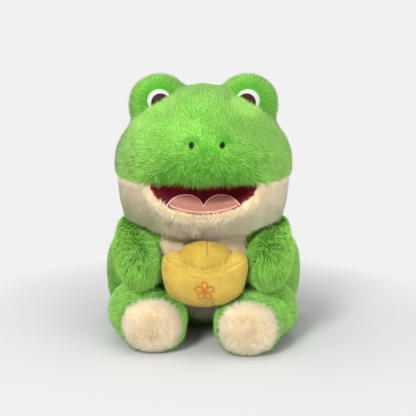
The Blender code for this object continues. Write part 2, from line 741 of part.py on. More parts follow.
def build():
    """Make every piece of the frog."""
    neck = add_joint("neck_joint", Vector((0, -NECK_FRONT, NECK_HEIGHT)))
    floor = box_cutter("floor_cutter", (-WIDE, -WIDE, -WIDE), (WIDE, WIDE, 0))
    trunk_room = form_cutter("trunk_cutter", trunk_form(), FINE)
    head_room = form_cutter("head_cutter", head_form(), FINE)
    head_sweep = swept_bowl("head_sweep_cutter")
    mouth_room = mesh_object("mouth_cutter", mouth_mesh(-SEAM_GAP))
    build_trunk(floor, head_sweep)
    build_head(neck, mouth_room)
    build_mouth(neck)
    leg_rooms = [
        form_cutter(f"leg_{name}_room_cutter", leg_form(name, side), MEDIUM) for name, side in SIDES.items()]
    for name, side in SIDES.items():
        build_eye(name, side, neck, head_room)
        build_nostril(name, side, neck)
        build_arm(name, side, (trunk_room, head_sweep, *leg_rooms))
        build_leg(name, side, floor, trunk_room)
    build_ingot((trunk_room, head_sweep, *leg_rooms))


clear_scene()
build()
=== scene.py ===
# %% [markdown]
# # A plush frog that holds a small ingot cushion
#
# The frog is sewn from panels of plush, stuffed, and sits on the floor. Its
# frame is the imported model: every panel, stitch and lump of wadding already
# has its size and place there. This lesson dresses that frame. Each panel is
# blown up as a real stuffed toy is, then a pile of single strands is grown on
# it, and the face, the tongue and the ingot are sewn on last.

# %% Load the frame
import math

import bmesh
import bpy
import numpy as np
from mathutils import Matrix, Vector, noise
from mathutils.bvhtree import BVHTree
from mathutils.kdtree import KDTree


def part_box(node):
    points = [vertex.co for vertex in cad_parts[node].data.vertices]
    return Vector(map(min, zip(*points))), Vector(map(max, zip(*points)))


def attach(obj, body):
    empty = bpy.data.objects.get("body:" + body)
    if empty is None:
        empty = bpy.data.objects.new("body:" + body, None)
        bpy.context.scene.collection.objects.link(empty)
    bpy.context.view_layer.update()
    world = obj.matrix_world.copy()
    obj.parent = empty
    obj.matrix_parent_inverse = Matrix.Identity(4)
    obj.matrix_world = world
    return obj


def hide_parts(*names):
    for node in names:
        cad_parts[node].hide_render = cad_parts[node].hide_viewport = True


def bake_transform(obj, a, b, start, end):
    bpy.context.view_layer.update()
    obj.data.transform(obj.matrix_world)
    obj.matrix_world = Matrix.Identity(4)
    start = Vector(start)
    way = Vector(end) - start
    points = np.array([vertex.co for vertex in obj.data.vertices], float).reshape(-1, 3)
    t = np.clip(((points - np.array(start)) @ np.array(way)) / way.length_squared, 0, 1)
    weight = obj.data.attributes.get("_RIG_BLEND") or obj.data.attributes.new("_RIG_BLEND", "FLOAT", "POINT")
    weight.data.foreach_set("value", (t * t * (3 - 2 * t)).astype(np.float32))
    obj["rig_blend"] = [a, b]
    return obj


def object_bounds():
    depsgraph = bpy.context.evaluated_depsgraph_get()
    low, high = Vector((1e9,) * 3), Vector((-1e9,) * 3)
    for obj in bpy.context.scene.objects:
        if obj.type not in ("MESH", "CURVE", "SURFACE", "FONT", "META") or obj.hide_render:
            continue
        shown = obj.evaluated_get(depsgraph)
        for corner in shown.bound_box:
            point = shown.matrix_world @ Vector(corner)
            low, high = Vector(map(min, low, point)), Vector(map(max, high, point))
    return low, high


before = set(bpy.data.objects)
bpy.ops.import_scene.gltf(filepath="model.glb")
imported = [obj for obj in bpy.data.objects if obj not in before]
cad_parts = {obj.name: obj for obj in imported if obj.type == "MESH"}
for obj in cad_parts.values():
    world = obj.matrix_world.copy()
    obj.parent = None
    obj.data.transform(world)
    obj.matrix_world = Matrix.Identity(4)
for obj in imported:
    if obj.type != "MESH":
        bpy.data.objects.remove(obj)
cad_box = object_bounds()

MM = 0.001
SIDES = {"left": 1, "right": -1}
print("nodes in the frame:", len(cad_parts))

# %% [markdown]
# ## The camera
#
# A photograph of a toy is taken from a little above, through a lens long
# enough that the feet don't swell. The camera stands in front of the frog and
# is tilted down, and a small shift slides the picture sideways, as moving the
# paper under a slide would, without turning the frog.

# %% Camera
CAMERA_BACK = 0.72
CAMERA_HEIGHT = 0.24
CAMERA_TILT = math.radians(9.69)
CAMERA_LENS = 63.05
CAMERA_SHIFT_SHARE = 0.0108

lens = bpy.data.cameras.new("camera")
lens.lens = CAMERA_LENS
lens.shift_x = CAMERA_SHIFT_SHARE
camera = bpy.data.objects.new("camera", lens)
camera.location = (0, -CAMERA_BACK, CAMERA_HEIGHT)
camera.rotation_euler = (math.pi / 2 - CAMERA_TILT, 0, 0)
bpy.context.scene.collection.objects.link(camera)
bpy.context.scene.camera = camera
print("camera stands", CAMERA_BACK, "m in front")

# %% Helpers for objects, meshes and nodes


def new_object(name, mesh):
    """Put a mesh in the scene under a name."""
    item = bpy.data.objects.new(name, mesh)
    bpy.context.scene.collection.objects.link(item)
    return item


def opened(mesh):
    """Return a bmesh that holds a mesh."""
    bm = bmesh.new()
    bm.from_mesh(mesh)
    return bm


def stored(bm, mesh):
    """Put a bmesh into a mesh, free it and return the mesh."""
    bm.to_mesh(mesh)
    bm.free()
    return mesh


def surface_tree(bm):
    """Return a tree that finds places on a bmesh's surface, and free the bmesh."""
    tree = BVHTree.FromBMesh(bm)
    bm.free()
    return tree


def point_tree(places):
    """Return a tree that finds the nearest of some places."""
    tree = KDTree(len(places))
    for number, place in enumerate(places):
        tree.insert(place, number)
    tree.balance()
    return tree


def plug(tree, socket, value):
    """Link a node's input to another socket, or give it a plain value."""
    if isinstance(value, bpy.types.NodeSocket):
        tree.links.new(value, socket)
    elif socket.type == "RGBA" and len(value) == 3:
        socket.default_value = (*value, 1.0)
    else:
        socket.default_value = value


def add_node(tree, kind, inputs=None, **settings):
    """Add a node to a tree, set its properties and fill its inputs by name or number."""
    node = tree.nodes.new(kind)
    for key, value in settings.items():
        setattr(node, key, value)
    for key, value in (inputs or {}).items():
        plug(tree, node.inputs[key], value)
    return node


def math_node(tree, operation, first, second, clamp=False):
    """Add a Math node that works on sockets or plain numbers."""
    node = add_node(
        tree, "ShaderNodeMath", {0: first, 1: second}, operation=operation, use_clamp=clamp)
    return node.outputs[0]


def mix_colours(tree, factor, first, second):
    """Mix two colours, each a socket or a tuple, by a factor."""
    return add_node(tree, "ShaderNodeMix", {0: factor, 6: first, 7: second}, data_type="RGBA").outputs[2]


def seen_directly(tree):
    """Return 1 for what the camera sees itself or in a glossy reflection."""
    path = add_node(tree, "ShaderNodeLightPath")
    return math_node(tree, "MAXIMUM", path.outputs["Is Camera Ray"], path.outputs["Is Glossy Ray"])


def plain_material(name, colour, inputs):
    """Start a material: its Principled shader has one colour, and some inputs set."""
    material = bpy.data.materials.new(name)
    material.use_nodes = True
    shader = material.node_tree.nodes["Principled BSDF"]
    for key, value in {"Base Color": colour, **inputs}.items():
        plug(material.node_tree, shader.inputs[key], value)
    return material


print("helpers ready")

# %% [markdown]
# ## The room
#
# The floor is one sheet that runs back and curves up into a wall, as a roll of
# studio paper does, so no line shows where they meet. One lamp hangs high to
# the left, a larger one stands low to the right and a third hangs above, so
# the shadows are soft. The camera sees the wall a little paler than the lamps
# make it, and the floor keeps the frog's shadow.

# %% Floor and lamps
PAPER_GREY = (0.61, 0.61, 0.61)
PAPER_HALF_WIDTH = 3.0
PAPER_FRONT = 2.0
PAPER_BACK = 1.6
PAPER_CURVE = 0.8
PAPER_TOP = 3.0
PAPER_ARC_STEPS = 24
PAPER_SHADOW_NEAR = 0.13
PAPER_SHADOW_FAR = 0.30
BACKGROUND_LEVEL = 0.879
ROOM_LEVEL = 0.42
KEY_WATTS = 17.5
FILL_WATTS = 14.0
TOP_WATTS = 6.0


def paper_mesh():
    """Return the studio paper: flat, then a quarter turn, then upright."""
    profile = [(-PAPER_FRONT, 0.0), (PAPER_BACK, 0.0)]
    for step in range(1, PAPER_ARC_STEPS + 1):
        turn = math.pi / 2 * step / PAPER_ARC_STEPS
        profile.append((PAPER_BACK + PAPER_CURVE * math.sin(turn), PAPER_CURVE * (1 - math.cos(turn))))
    profile.append((PAPER_BACK + PAPER_CURVE, PAPER_TOP))
    bm = bmesh.new()
    rows = [[bm.verts.new((side * PAPER_HALF_WIDTH, y, z)) for side in (-1, 1)] for y, z in profile]
    for low, high in zip(rows, rows[1:]):
        bm.faces.new((low[0], low[1], high[1], high[0]))
    mesh = stored(bm, bpy.data.meshes.new("studio_paper"))
    mesh.shade_smooth()
    return mesh


def paper_material():
    """Return paper that takes the frog's shadow, and fades to an even pale grey further off."""
    material = plain_material("studio_paper", PAPER_GREY, {"Roughness": 1.0})
    tree = material.node_tree
    place = add_node(tree, "ShaderNodeTexCoord").outputs["Object"]
    distance = add_node(tree, "ShaderNodeVectorMath", {0: place}, operation="LENGTH").outputs["Value"]
    far = add_node(tree, "ShaderNodeMapRange", {
        "From Min": PAPER_SHADOW_NEAR, "From Max": PAPER_SHADOW_FAR, "Value": distance}).outputs["Result"]
    glow = add_node(tree, "ShaderNodeEmission", {"Strength": BACKGROUND_LEVEL})
    mix = add_node(tree, "ShaderNodeMixShader", {
        "Fac": math_node(tree, "MULTIPLY", far, seen_directly(tree)),
        1: tree.nodes["Principled BSDF"].outputs[0],
        2: glow.outputs[0]})
    plug(tree, tree.nodes["Material Output"].inputs["Surface"], mix.outputs[0])
    return material


paper = new_object("studio_paper", paper_mesh())
paper.data.materials.append(paper_material())


def area_lamp(name, watts, size, place, aim):
    """Hang a soft square lamp at a place and turn it to its aim."""
    light = bpy.data.lights.new(name, "AREA")
    light.energy = watts
    light.size = size
    lamp = bpy.data.objects.new(name, light)
    lamp.location = place
    lamp.rotation_euler = (Vector(aim) - Vector(place)).to_track_quat("-Z", "Y").to_euler()
    bpy.context.scene.collection.objects.link(lamp)


FROG_MIDDLE = (cad_box[0] + cad_box[1]) / 2
area_lamp("key_lamp", KEY_WATTS, 0.35, (-0.55, -1.1, 0.90), FROG_MIDDLE)
area_lamp("fill_lamp", FILL_WATTS, 0.9, (0.9, -1.1, 0.15), FROG_MIDDLE)
area_lamp("top_lamp", TOP_WATTS, 0.8, (0.0, -0.1, 1.4), FROG_MIDDLE)


def light_the_room():
    """Give the world one pale level, and show the camera a paler one."""
    world = bpy.data.worlds.new("room")
    world.use_nodes = True
    tree = world.node_tree
    room = tree.nodes["Background"]
    plug(tree, room.inputs["Color"], (1, 1, 1, 1))
    plug(tree, room.inputs["Strength"], ROOM_LEVEL)
    shown = add_node(tree, "ShaderNodeBackground", {"Strength": BACKGROUND_LEVEL})
    mix = add_node(tree, "ShaderNodeMixShader", {
        "Fac": seen_directly(tree), 1: room.outputs[0], 2: shown.outputs[0]})
    plug(tree, tree.nodes["World Output"].inputs["Surface"], mix.outputs[0])
    bpy.context.scene.world = world


light_the_room()
bpy.context.scene.view_settings.view_transform = "Standard"

# %% [markdown]
# ## Colours and shared effects
#
# Plush is never one colour. Each strand is a little lighter or darker than
# the next, its root is painted in shade and its tip is painted lighter where
# light catches it, and the pile is painted in patches that catch light
# differently. One node group mixes these, and every plush material uses it with
# colours of its own. A second group gives the knitted backing, the velour and
# the thread their grain.

# %% Node group: strand colour
# Root colours are painted in shade, and tip colours are painted in light.
GREEN_ROOT = (0.085, 0.400, 0.018)
GREEN_TIP = (0.545, 0.960, 0.215)
# The arms' pile is the same green plush, with a copy painted darker all along as shade.
LONG_GREEN_SHADED_ROOT = (0.030, 0.230, 0.008)
LONG_GREEN_SHADED_TIP = (0.480, 0.920, 0.165)
CREAM_ROOT = (0.860, 0.710, 0.460)
CREAM_TIP = (0.980, 0.890, 0.690)
YELLOW_ROOT = (0.570, 0.400, 0.055)
YELLOW_TIP = (0.810, 0.660, 0.190)
STRAND_ROUGHNESS = 0.62
STRAND_SPECULAR = 0.15
STRAND_SHEEN = 0.08
STRAND_SHEEN_ROUGHNESS = 0.5
TIP_REACH_POWER = 0.75
PATCHES_PER_METRE = 60.0
PATCH_SPREAD = 0.5


def group_socket(group, name, kind, way="INPUT", value=None):
    """Add a named socket to a node group."""
    socket = group.interface.new_socket(name=name, in_out=way, socket_type="NodeSocket" + kind)
    if value is not None:
        socket.default_value = value


def named_value(tree, name):
    """Read a named attribute of the mesh."""
    node = add_node(tree, "ShaderNodeAttribute", attribute_type="GEOMETRY", attribute_name=name)
    return node.outputs["Fac"]


def about_zero(tree, value, spread):
    """Shift a value between 0 and 1 to lie round 0, and scale it."""
    return math_node(tree, "MULTIPLY", math_node(tree, "SUBTRACT", value, 0.5), spread)


def strand_colour_group():
    """Mix a root painted in shade and a tip painted in light, with a tone for each strand and soft patches.
    """
    group = bpy.data.node_groups.new("strand_colour", "ShaderNodeTree")
    group_socket(group, "Root Colour", "Color", value=(0, 0, 0, 1))
    group_socket(group, "Tip Colour", "Color", value=(1, 1, 1, 1))
    group_socket(group, "Tone Spread", "Float", value=0.3)
    group_socket(group, "Colour", "Color", "OUTPUT")
    start, end = add_node(group, "NodeGroupInput"), add_node(group, "NodeGroupOutput")
    patches = add_node(group, "ShaderNodeTexNoise", {
        "Detail": 3.0, "Scale": PATCHES_PER_METRE,
        "Vector": add_node(group, "ShaderNodeTexCoord").outputs["Object"]})
    raised = math_node(group, "POWER", named_value(group, "strand_share"), TIP_REACH_POWER)
    shifted = about_zero(group, named_value(group, "strand_tone_and_shading"), start.outputs["Tone Spread"])
    patched = about_zero(group, patches.outputs["Fac"], PATCH_SPREAD)
    total = math_node(group, "ADD", math_node(group, "ADD", raised, shifted), patched, clamp=True)
    colour = mix_colours(group, total, start.outputs["Root Colour"], start.outputs["Tip Colour"])
    plug(group, end.inputs["Colour"], colour)
    return group


STRAND_COLOUR = strand_colour_group()


def pile_material(name, root, tip, tone_spread=0.45):
    """Return the material of a pile of strands."""
    material = plain_material(name, tip, {
        "Roughness": STRAND_ROUGHNESS, "Specular IOR Level": STRAND_SPECULAR,
        "Sheen Weight": STRAND_SHEEN, "Sheen Roughness": STRAND_SHEEN_ROUGHNESS})
    tree = material.node_tree
    colour = add_node(tree, "ShaderNodeGroup", {
        "Root Colour": root, "Tip Colour": tip, "Tone Spread": tone_spread}, node_tree=STRAND_COLOUR)
    plug(tree, tree.nodes["Principled BSDF"].inputs["Base Color"], colour.outputs["Colour"])
    return material


GREEN_PILE = pile_material("green_pile", GREEN_ROOT, GREEN_TIP)
SHADED_LONG_GREEN_PILE = pile_material("shaded_long_green_pile", LONG_GREEN_SHADED_ROOT, LONG_GREEN_SHADED_TIP)
CREAM_PILE = pile_material("cream_pile", CREAM_ROOT, CREAM_TIP, tone_spread=0.35)
YELLOW_PILE = pile_material("yellow_pile", YELLOW_ROOT, YELLOW_TIP, tone_spread=0.35)
print("pile materials:", GREEN_PILE.name, CREAM_PILE.name)

# %% [markdown]
# The knitted backing under the pile shows only between strands, where shade
# falls, so it is painted close to their roots' shaded colour and has a small
# bump. On velour brushing leaves soft lighter and darker patches, and a little
# sheen lights its rim. Satin stitch is thread laid side by side: each thread has
# a tone of its own, and its grain is finer than the cloth's.

# %% Node group: grain of cloth and thread
CLOTH_FINE = 1500.0
CLOTH_BROAD = 90.0
CLOTH_DEPTH = 0.4 * MM
CLOTH_ROUGHNESS = 0.9
CLOTH_SHEEN_ROUGHNESS = 0.45
CLOTH_SPECULAR = 0.2
CLOTH_TONE_FROM = 0.35
CLOTH_TONE_CONTRAST = 3.0
THREAD_FINE = 2600.0
THREAD_BROAD = 400.0
THREAD_DEPTH = 0.15 * MM
THREAD_TONE_SHARE = 0.7


def grain_group():
    """Turn two sizes of noise into a normal and a tone, for cloth and thread."""
    group = bpy.data.node_groups.new("cloth_grain", "ShaderNodeTree")
    for name in ("Fine Size", "Broad Size", "Depth"):
        group_socket(group, name, "Float")
    group_socket(group, "Tone", "Float", "OUTPUT")
    group_socket(group, "Normal", "Vector", "OUTPUT")
    start, end = add_node(group, "NodeGroupInput"), add_node(group, "NodeGroupOutput")
    place = add_node(group, "ShaderNodeTexCoord").outputs["Object"]
    fine, broad = [
        add_node(group, "ShaderNodeTexNoise", {
            "Detail": 4.0, "Vector": place, "Scale": start.outputs[size]}).outputs["Fac"]
        for size in ("Fine Size", "Broad Size")]
    bump = add_node(group, "ShaderNodeBump", {
        "Height": math_node(group, "ADD", fine, math_node(group, "MULTIPLY", broad, 2.0)),
        "Distance": start.outputs["Depth"]})
    plug(group, end.inputs["Normal"], bump.outputs["Normal"])
    plug(group, end.inputs["Tone"], math_node(group, "MULTIPLY", math_node(group, "ADD", fine, broad), 0.5))
    return group


GRAIN = grain_group()


def grainy_material(name, dark, light, inputs, sizes, tone_from_grain):
    """Return a material whose tone drifts between two colours, with a grain of three sizes."""
    material = plain_material(name, light, inputs)
    tree = material.node_tree
    shader = tree.nodes["Principled BSDF"]
    fine, broad, depth = sizes
    grain = add_node(tree, "ShaderNodeGroup", {
        "Fine Size": fine, "Broad Size": broad, "Depth": depth}, node_tree=GRAIN)
    tone = tone_from_grain(tree, grain.outputs["Tone"])
    plug(tree, shader.inputs["Base Color"], mix_colours(tree, tone, dark, light))
    plug(tree, shader.inputs["Normal"], grain.outputs["Normal"])
    return material


def cloth_tone(tree, grain):
    """Return a cloth's tone: its grain with more contrast."""
    lowered = math_node(tree, "SUBTRACT", grain, CLOTH_TONE_FROM)
    return math_node(tree, "MULTIPLY", lowered, CLOTH_TONE_CONTRAST, clamp=True)


def thread_tone(tree, grain):
    """Return a thread's tone: its own, with the grain added."""
    total = math_node(tree, "ADD", named_value(tree, "thread_tone"), grain)
    return math_node(tree, "MULTIPLY", total, THREAD_TONE_SHARE, clamp=True)


def cloth_material(name, dark, light, sheen, fine=CLOTH_FINE):
    """Return brushed or knitted cloth."""
    inputs = {
        "Roughness": CLOTH_ROUGHNESS, "Sheen Weight": sheen,
        "Sheen Roughness": CLOTH_SHEEN_ROUGHNESS, "Specular IOR Level": CLOTH_SPECULAR}
    return grainy_material(name, dark, light, inputs, (fine, CLOTH_BROAD, CLOTH_DEPTH), cloth_tone)


def satin_material(name, dark, light, roughness=0.42, sheen=0.15, shine=0.5):
    """Return satin thread."""
    inputs = {"Roughness": roughness, "Sheen Weight": sheen, "Specular IOR Level": shine}
    return grainy_material(name, dark, light, inputs, (THREAD_FINE, THREAD_BROAD, THREAD_DEPTH), thread_tone)


# The backing colours are painted close to the roots' shade.
GREEN_BACKING = cloth_material("green_backing", (0.05, 0.28, 0.01), (0.09, 0.42, 0.02), 0.1)
CREAM_BACKING = cloth_material("cream_backing", (0.76, 0.60, 0.36), (0.88, 0.73, 0.48), 0.1)
WADDING = cloth_material("wadding", (0.70, 0.70, 0.68), (0.85, 0.85, 0.83), 0.2)
YELLOW_VELOUR = cloth_material("ingot_velour", (0.49, 0.32, 0.04), (0.63, 0.46, 0.10), 0.05, fine=1100.0)
DARK_RED_VELOUR = cloth_material("dark_red_velour", (0.10, 0.002, 0.005), (0.20, 0.005, 0.014), 0.05)
PINK_VELOUR = cloth_material("tongue_velour", (0.65, 0.27, 0.195), (0.76, 0.345, 0.25), 0.1)
PINK_SATIN = satin_material("pink_satin", (0.88, 0.38, 0.34), (0.96, 0.56, 0.50))
ORANGE_SATIN = satin_material("orange_satin", (0.42, 0.09, 0.006), (0.62, 0.19, 0.02), sheen=0.0)
WHITE_SATIN = satin_material("eye_satin", (0.36, 0.36, 0.34), (0.52, 0.51, 0.49))
BROWN_SATIN = satin_material("iris_satin", (0.006, 0.002, 0.002), (0.036, 0.008, 0.006), 0.35, 0.0, 0.12)
BLACK_SATIN = satin_material("black_satin", (0.002, 0.002, 0.002), (0.008, 0.009, 0.007), 0.6, 0.0, 0.1)
print("materials:", len(bpy.data.materials))

# %% [markdown]
# ## Blowing up the forms
#
# A stuffed toy gets its shape from the wadding that pushes its panels out,
# while the seams hold them in. So each body part starts as one skin of even
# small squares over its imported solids. The points where two panels meet are
# pinned, the skin is simulated as cloth with air pressure inside, and every
# point may move only a few millimetres, so that the frog keeps its size. A
# subdivision then rounds what the small squares left.

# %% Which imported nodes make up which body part
BODY_PARTS = {
    "trunk": {"panels": ("body_skin", "belly_panel"), "stuffing": ("body_stuffing",)},
    "head": {
        "panels": (
            "head_crown_skin", "jaw_skin", "head_back_skin", "mouth_lining",
            "eye_bump_left_skin", "eye_bump_right_skin"),
        "stuffing": ("head_stuffing", "eye_bump_left_stuffing", "eye_bump_right_stuffing")},
    "ingot": {"panels": ("ingot_boat_skin", "ingot_dome_skin"), "stuffing": ("ingot_stuffing",)},
}
HOLLOW_NODES = {"ingot": ("ingot_dome_skin", "ingot_stuffing")}
for name in SIDES:
    BODY_PARTS[f"arm_{name}"] = {"panels": (f"arm_{name}_skin",), "stuffing": (f"arm_{name}_stuffing",)}
    BODY_PARTS[f"leg_{name}"] = {
        "panels": (f"leg_{name}_skin", f"sole_{name}"), "stuffing": (f"leg_{name}_stuffing",)}
print("body parts:", sorted(BODY_PARTS))

# %% Skin a body part with small squares
SQUARE = 4 * MM
SMALL_SQUARE = 2.4 * MM
SMALL_PARTS = ("ingot",)
SMOOTHING_ROUNDS = {"arm": 16, "ingot": 14}
SMOOTHING_ROUNDS_ELSEWHERE = 8
SEAM_ROUNDS = 14
VALLEY_REACH = 11 * MM
VALLEY_ROUNDS = 14
RAISE_FROM = 0.200
RAISE_OVER = 0.030
RAISE_BY = 2.4 * MM
PLUMP_FROM = 0.056
PLUMP_OVER = 0.028
PLUMP_OUT = 4.5 * MM
MERGE_WITHIN = MM / 100


def node_mesh(nodes):
    """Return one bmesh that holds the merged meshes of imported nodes."""
    bm = bmesh.new()
    for node in nodes:
        bm.from_mesh(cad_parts[node].data)
    bmesh.ops.remove_doubles(bm, verts=bm.verts, dist=MERGE_WITHIN)
    return bm


def node_tree(nodes):
    """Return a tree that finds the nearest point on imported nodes."""
    return surface_tree(node_mesh(nodes))


def evaluated_mesh(item):
    """Return a plain mesh of an object as its modifiers leave it."""
    depsgraph = bpy.context.evaluated_depsgraph_get()
    return bpy.data.meshes.new_from_object(item.evaluated_get(depsgraph), depsgraph=depsgraph)


def settle(item):
    """Keep an object's shape as its modifiers leave it, and drop the modifiers."""
    mesh = evaluated_mesh(item)
    item.modifiers.clear()
    item.data = mesh
    return item


def fill_hollow(bm, node):
    """Add a solid lump to a body part, as large as the hollow panel."""
    panel = node_mesh((node,))
    lump = bmesh.new()
    points = [lump.verts.new(vert.co) for vert in panel.verts]
    hull = bmesh.ops.convex_hull(lump, input=points)
    inside = {item for item in hull["geom_interior"] if isinstance(item, bmesh.types.BMVert)}
    bmesh.ops.delete(lump, geom=list(inside), context="VERTS")
    panel.free()
    mesh = stored(lump, bpy.data.meshes.new("lump"))
    bm.from_mesh(mesh)
    bpy.data.meshes.remove(mesh)


def drop_inner_shells(form):
    """Keep only the largest connected skin of a form."""
    bm = opened(form.data)
    left, shells = set(bm.verts), []
    while left:
        shell, edge_of_search = set(), [left.pop()]
        while edge_of_search:
            vert = edge_of_search.pop()
            shell.add(vert)
            for edge in vert.link_edges:
                other = edge.other_vert(vert)
                if other in left:
                    left.discard(other)
                    edge_of_search.append(other)
        shells.append(shell)
    largest = max(shells, key=len)
    bmesh.ops.delete(bm, geom=[vert for vert in bm.verts if vert not in largest], context="VERTS")
    stored(bm, form.data)
    return len(shells)


def skin_with_squares(name):
    """Wrap a body part's solids in one closed skin of even squares."""
    bm = node_mesh(BODY_PARTS[name]["panels"] + BODY_PARTS[name]["stuffing"])
    for node in HOLLOW_NODES.get(name, ()):
        fill_hollow(bm, node)
    form = new_object(name + "_form", stored(bm, bpy.data.meshes.new(name + "_form")))
    remesh = form.modifiers.new("squares", "REMESH")
    remesh.mode = "VOXEL"
    remesh.voxel_size = SMALL_SQUARE if name in SMALL_PARTS else SQUARE
    smooth = form.modifiers.new("smooth", "SMOOTH")
    smooth.factor = 0.5
    smooth.iterations = SMOOTHING_ROUNDS.get(name.split("_")[0], SMOOTHING_ROUNDS_ELSEWHERE)
    settle(form)
    print(name, "shells:", drop_inner_shells(form))
    return form


def label_panels(form, name):
    """Give each face the number of the panel that it lies nearest to."""
    trees = [node_tree((panel,)) for panel in BODY_PARTS[name]["panels"]]
    for face in form.data.polygons:
        distances = [tree.find_nearest(face.center)[3] for tree in trees]
        face.material_index = int(np.argmin(distances))


def seam_points(bm):
    """Return the points and edges where two panels meet."""
    edges = []
    for edge in bm.edges:
        labels = [face.material_index for face in edge.link_faces]
        if len(labels) == 2 and labels[0] != labels[1]:
            edges.append(edge)
    points = {vert for edge in edges for vert in edge.verts}
    return points, set(edges)


def soften_bumps(form):
    """Round off the valleys where the eye bumps meet the head."""
    bm = opened(form.data)
    bumps = [number for number, panel in enumerate(BODY_PARTS["head"]["panels"]) if panel.startswith("eye")]
    seam = [
        edge for edge in bm.edges
        if len({face.material_index in bumps for face in edge.link_faces}) == 2]
    valley = point_tree([edge.verts[0].co for edge in seam])
    near = [vert for vert in bm.verts if valley.find(vert.co)[2] < VALLEY_REACH]
    for _ in range(VALLEY_ROUNDS):
        bmesh.ops.smooth_vert(bm, verts=near, factor=0.5, use_axis_x=True, use_axis_y=True, use_axis_z=True)
    stored(bm, form.data)


def raise_top(form):
    """Lift the top of the head a little."""
    for vert in form.data.vertices:
        share = min(max((vert.co.z - RAISE_FROM) / RAISE_OVER, 0.0), 1.0)
        vert.co.z += RAISE_BY * share


def plump_sides(form):
    """Push the outer side of a leg a little outwards."""
    for vert in form.data.vertices:
        share = min(max((abs(vert.co.x) - PLUMP_FROM) / PLUMP_OVER, 0.0), 1.0)
        vert.co.x += math.copysign(PLUMP_OUT * share, vert.co.x)


def straighten_seams(form):
    """Draw each seam into a smooth line and return its points' numbers."""
    bm = opened(form.data)
    surface = BVHTree.FromBMesh(bm)
    points, edges = seam_points(bm)
    for _ in range(SEAM_ROUNDS):
        moved = {}
        for vert in points:
            beside = [edge.other_vert(vert).co for edge in vert.link_edges if edge in edges]
            if len(beside) == 2:
                moved[vert] = (vert.co * 2 + beside[0] + beside[1]) / 4
        for vert, place in moved.items():
            vert.co = surface.find_nearest(place)[0]
    numbers = [vert.index for vert in points]
    stored(bm, form.data)
    return numbers


forms = {}
seams = {}
for name in BODY_PARTS:
    forms[name] = skin_with_squares(name)
    for _ in BODY_PARTS[name]["panels"]:
        forms[name].data.materials.append(None)
    label_panels(forms[name], name)
    if name == "head":
        soften_bumps(forms[name])
        raise_top(forms[name])
    if name.startswith("leg"):
        plump_sides(forms[name])
    seams[name] = straighten_seams(forms[name])
    print(name, "skin of", len(forms[name].data.polygons), "squares,", len(seams[name]), "seam points")

# %% Push the panels out with cloth under pressure
PRESSURE = 300.0
LAST_FRAME = 20
MOVE_LIMIT = 2.6 * MM
STIFF_MOVE_LIMIT = 1.2 * MM
SEAM_DEPTH = 1.0 * MM
TOUCHING = 1.0 * MM
CROWDED = 5.0 * MM
NECK = Vector((0.0, -0.022, 0.0))
HEAD_TURN_MOST = math.radians(20)
HEAD_TURNS = [Matrix.Rotation(share * HEAD_TURN_MOST, 3, "Z") for share in (-1, 0, 1)]


def pin_points(form, name):
    """Hold the seams, and the whole mouth lining, still."""
    held = set(seams[name])
    if "mouth_lining" in BODY_PARTS[name]["panels"]:
        lining = BODY_PARTS[name]["panels"].index("mouth_lining")
        for face in form.data.polygons:
            if face.material_index == lining:
                held.update(face.vertices)
    group = form.vertex_groups.new(name="held")
    group.add(sorted(held), 1.0, "REPLACE")


def add_cloth(form, name):
    """Make the form a cloth balloon without weight."""
    pin_points(form, name)
    cloth = form.modifiers.new("cloth", "CLOTH")
    cloth.settings.quality = 4
    cloth.settings.use_pressure = True
    cloth.settings.uniform_pressure_force = PRESSURE
    cloth.settings.effector_weights.gravity = 0.0
    cloth.settings.vertex_group_mass = "held"
    cloth.collision_settings.use_collision = False
    cloth.point_cache.frame_start = 1
    cloth.point_cache.frame_end = LAST_FRAME


def meetings(place, one, other):
    """Return where a point of one part may lie against another part, as the head turns."""
    if "head" not in (one, other) or "ingot" in (one, other):
        return [Vector(place)]
    return [NECK + turn @ (Vector(place) - NECK) for turn in HEAD_TURNS]


def room_around(places, part, trees, most):
    """Return how far each point is from the nearest other part, but no more than most."""
    room = np.full(len(places), most)
    for number, place in enumerate(places):
        for other, tree in trees.items():
            if other == part:
                continue
            for spot in meetings(place, part, other):
                near = tree.find_nearest(spot, room[number])[3]
                if near is not None:
                    room[number] = near
    return room


def room_to_swell(name, start):
    """Return 0 for each point that a neighbour presses, rising to 1 where it is free."""
    room = room_around(start, name, packed_trees, CROWDED)
    return (np.maximum(room - TOUCHING, 0.0) / (CROWDED - TOUCHING))[:, None]


def point_places(form):
    """Return the places of a form's points."""
    places = np.zeros(len(form.data.vertices) * 3, np.float32)
    form.data.vertices.foreach_get("co", places)
    return places.reshape(-1, 3)


def keep_near(form, start, limit):
    """Bring back each point that the pressure moved too far, and keep the floor flat."""
    places = point_places(form)
    move = places - start
    length = np.linalg.norm(move, axis=1, keepdims=True)
    move *= np.minimum(1.0, limit / np.maximum(length, 1e-9))
    kept = start + move
    kept[:, 2] = np.maximum(kept[:, 2], 0.0)
    form.data.vertices.foreach_set("co", kept.astype(np.float32).ravel())
    return float(np.median(np.minimum(length, limit)))


packed_trees = {name: node_tree(made_of["panels"]) for name, made_of in BODY_PARTS.items()}
starts = {}
for name, form in forms.items():
    starts[name] = point_places(form)
    add_cloth(form, name)
for step in range(1, LAST_FRAME + 1):
    bpy.context.scene.frame_set(step)
for name, form in forms.items():
    settle(form)
    limit = STIFF_MOVE_LIMIT if name in SMALL_PARTS else MOVE_LIMIT
    limit = limit * room_to_swell(name, starts[name])
    print(name, "swelled by", round(keep_near(form, starts[name], limit) / MM, 2), "mm")
bpy.context.scene.frame_set(1)

# %% Sink the seams and round the squares


def sink_seams(form, name):
    """Draw each seam in, as the sewing thread does."""
    form.data.update()
    for number in seams[name]:
        vert = form.data.vertices[number]
        vert.co -= vert.normal * SEAM_DEPTH


def round_off(form):
    """Subdivide the squares once."""
    finer = form.modifiers.new("finer", "SUBSURF")
    finer.levels = 1
    finer.render_levels = 1
    return settle(form)


for name, form in forms.items():
    sink_seams(form, name)
    round_off(form)
    form.data.shade_smooth()
print("points after rounding:", sum(len(form.data.vertices) for form in forms.values()))

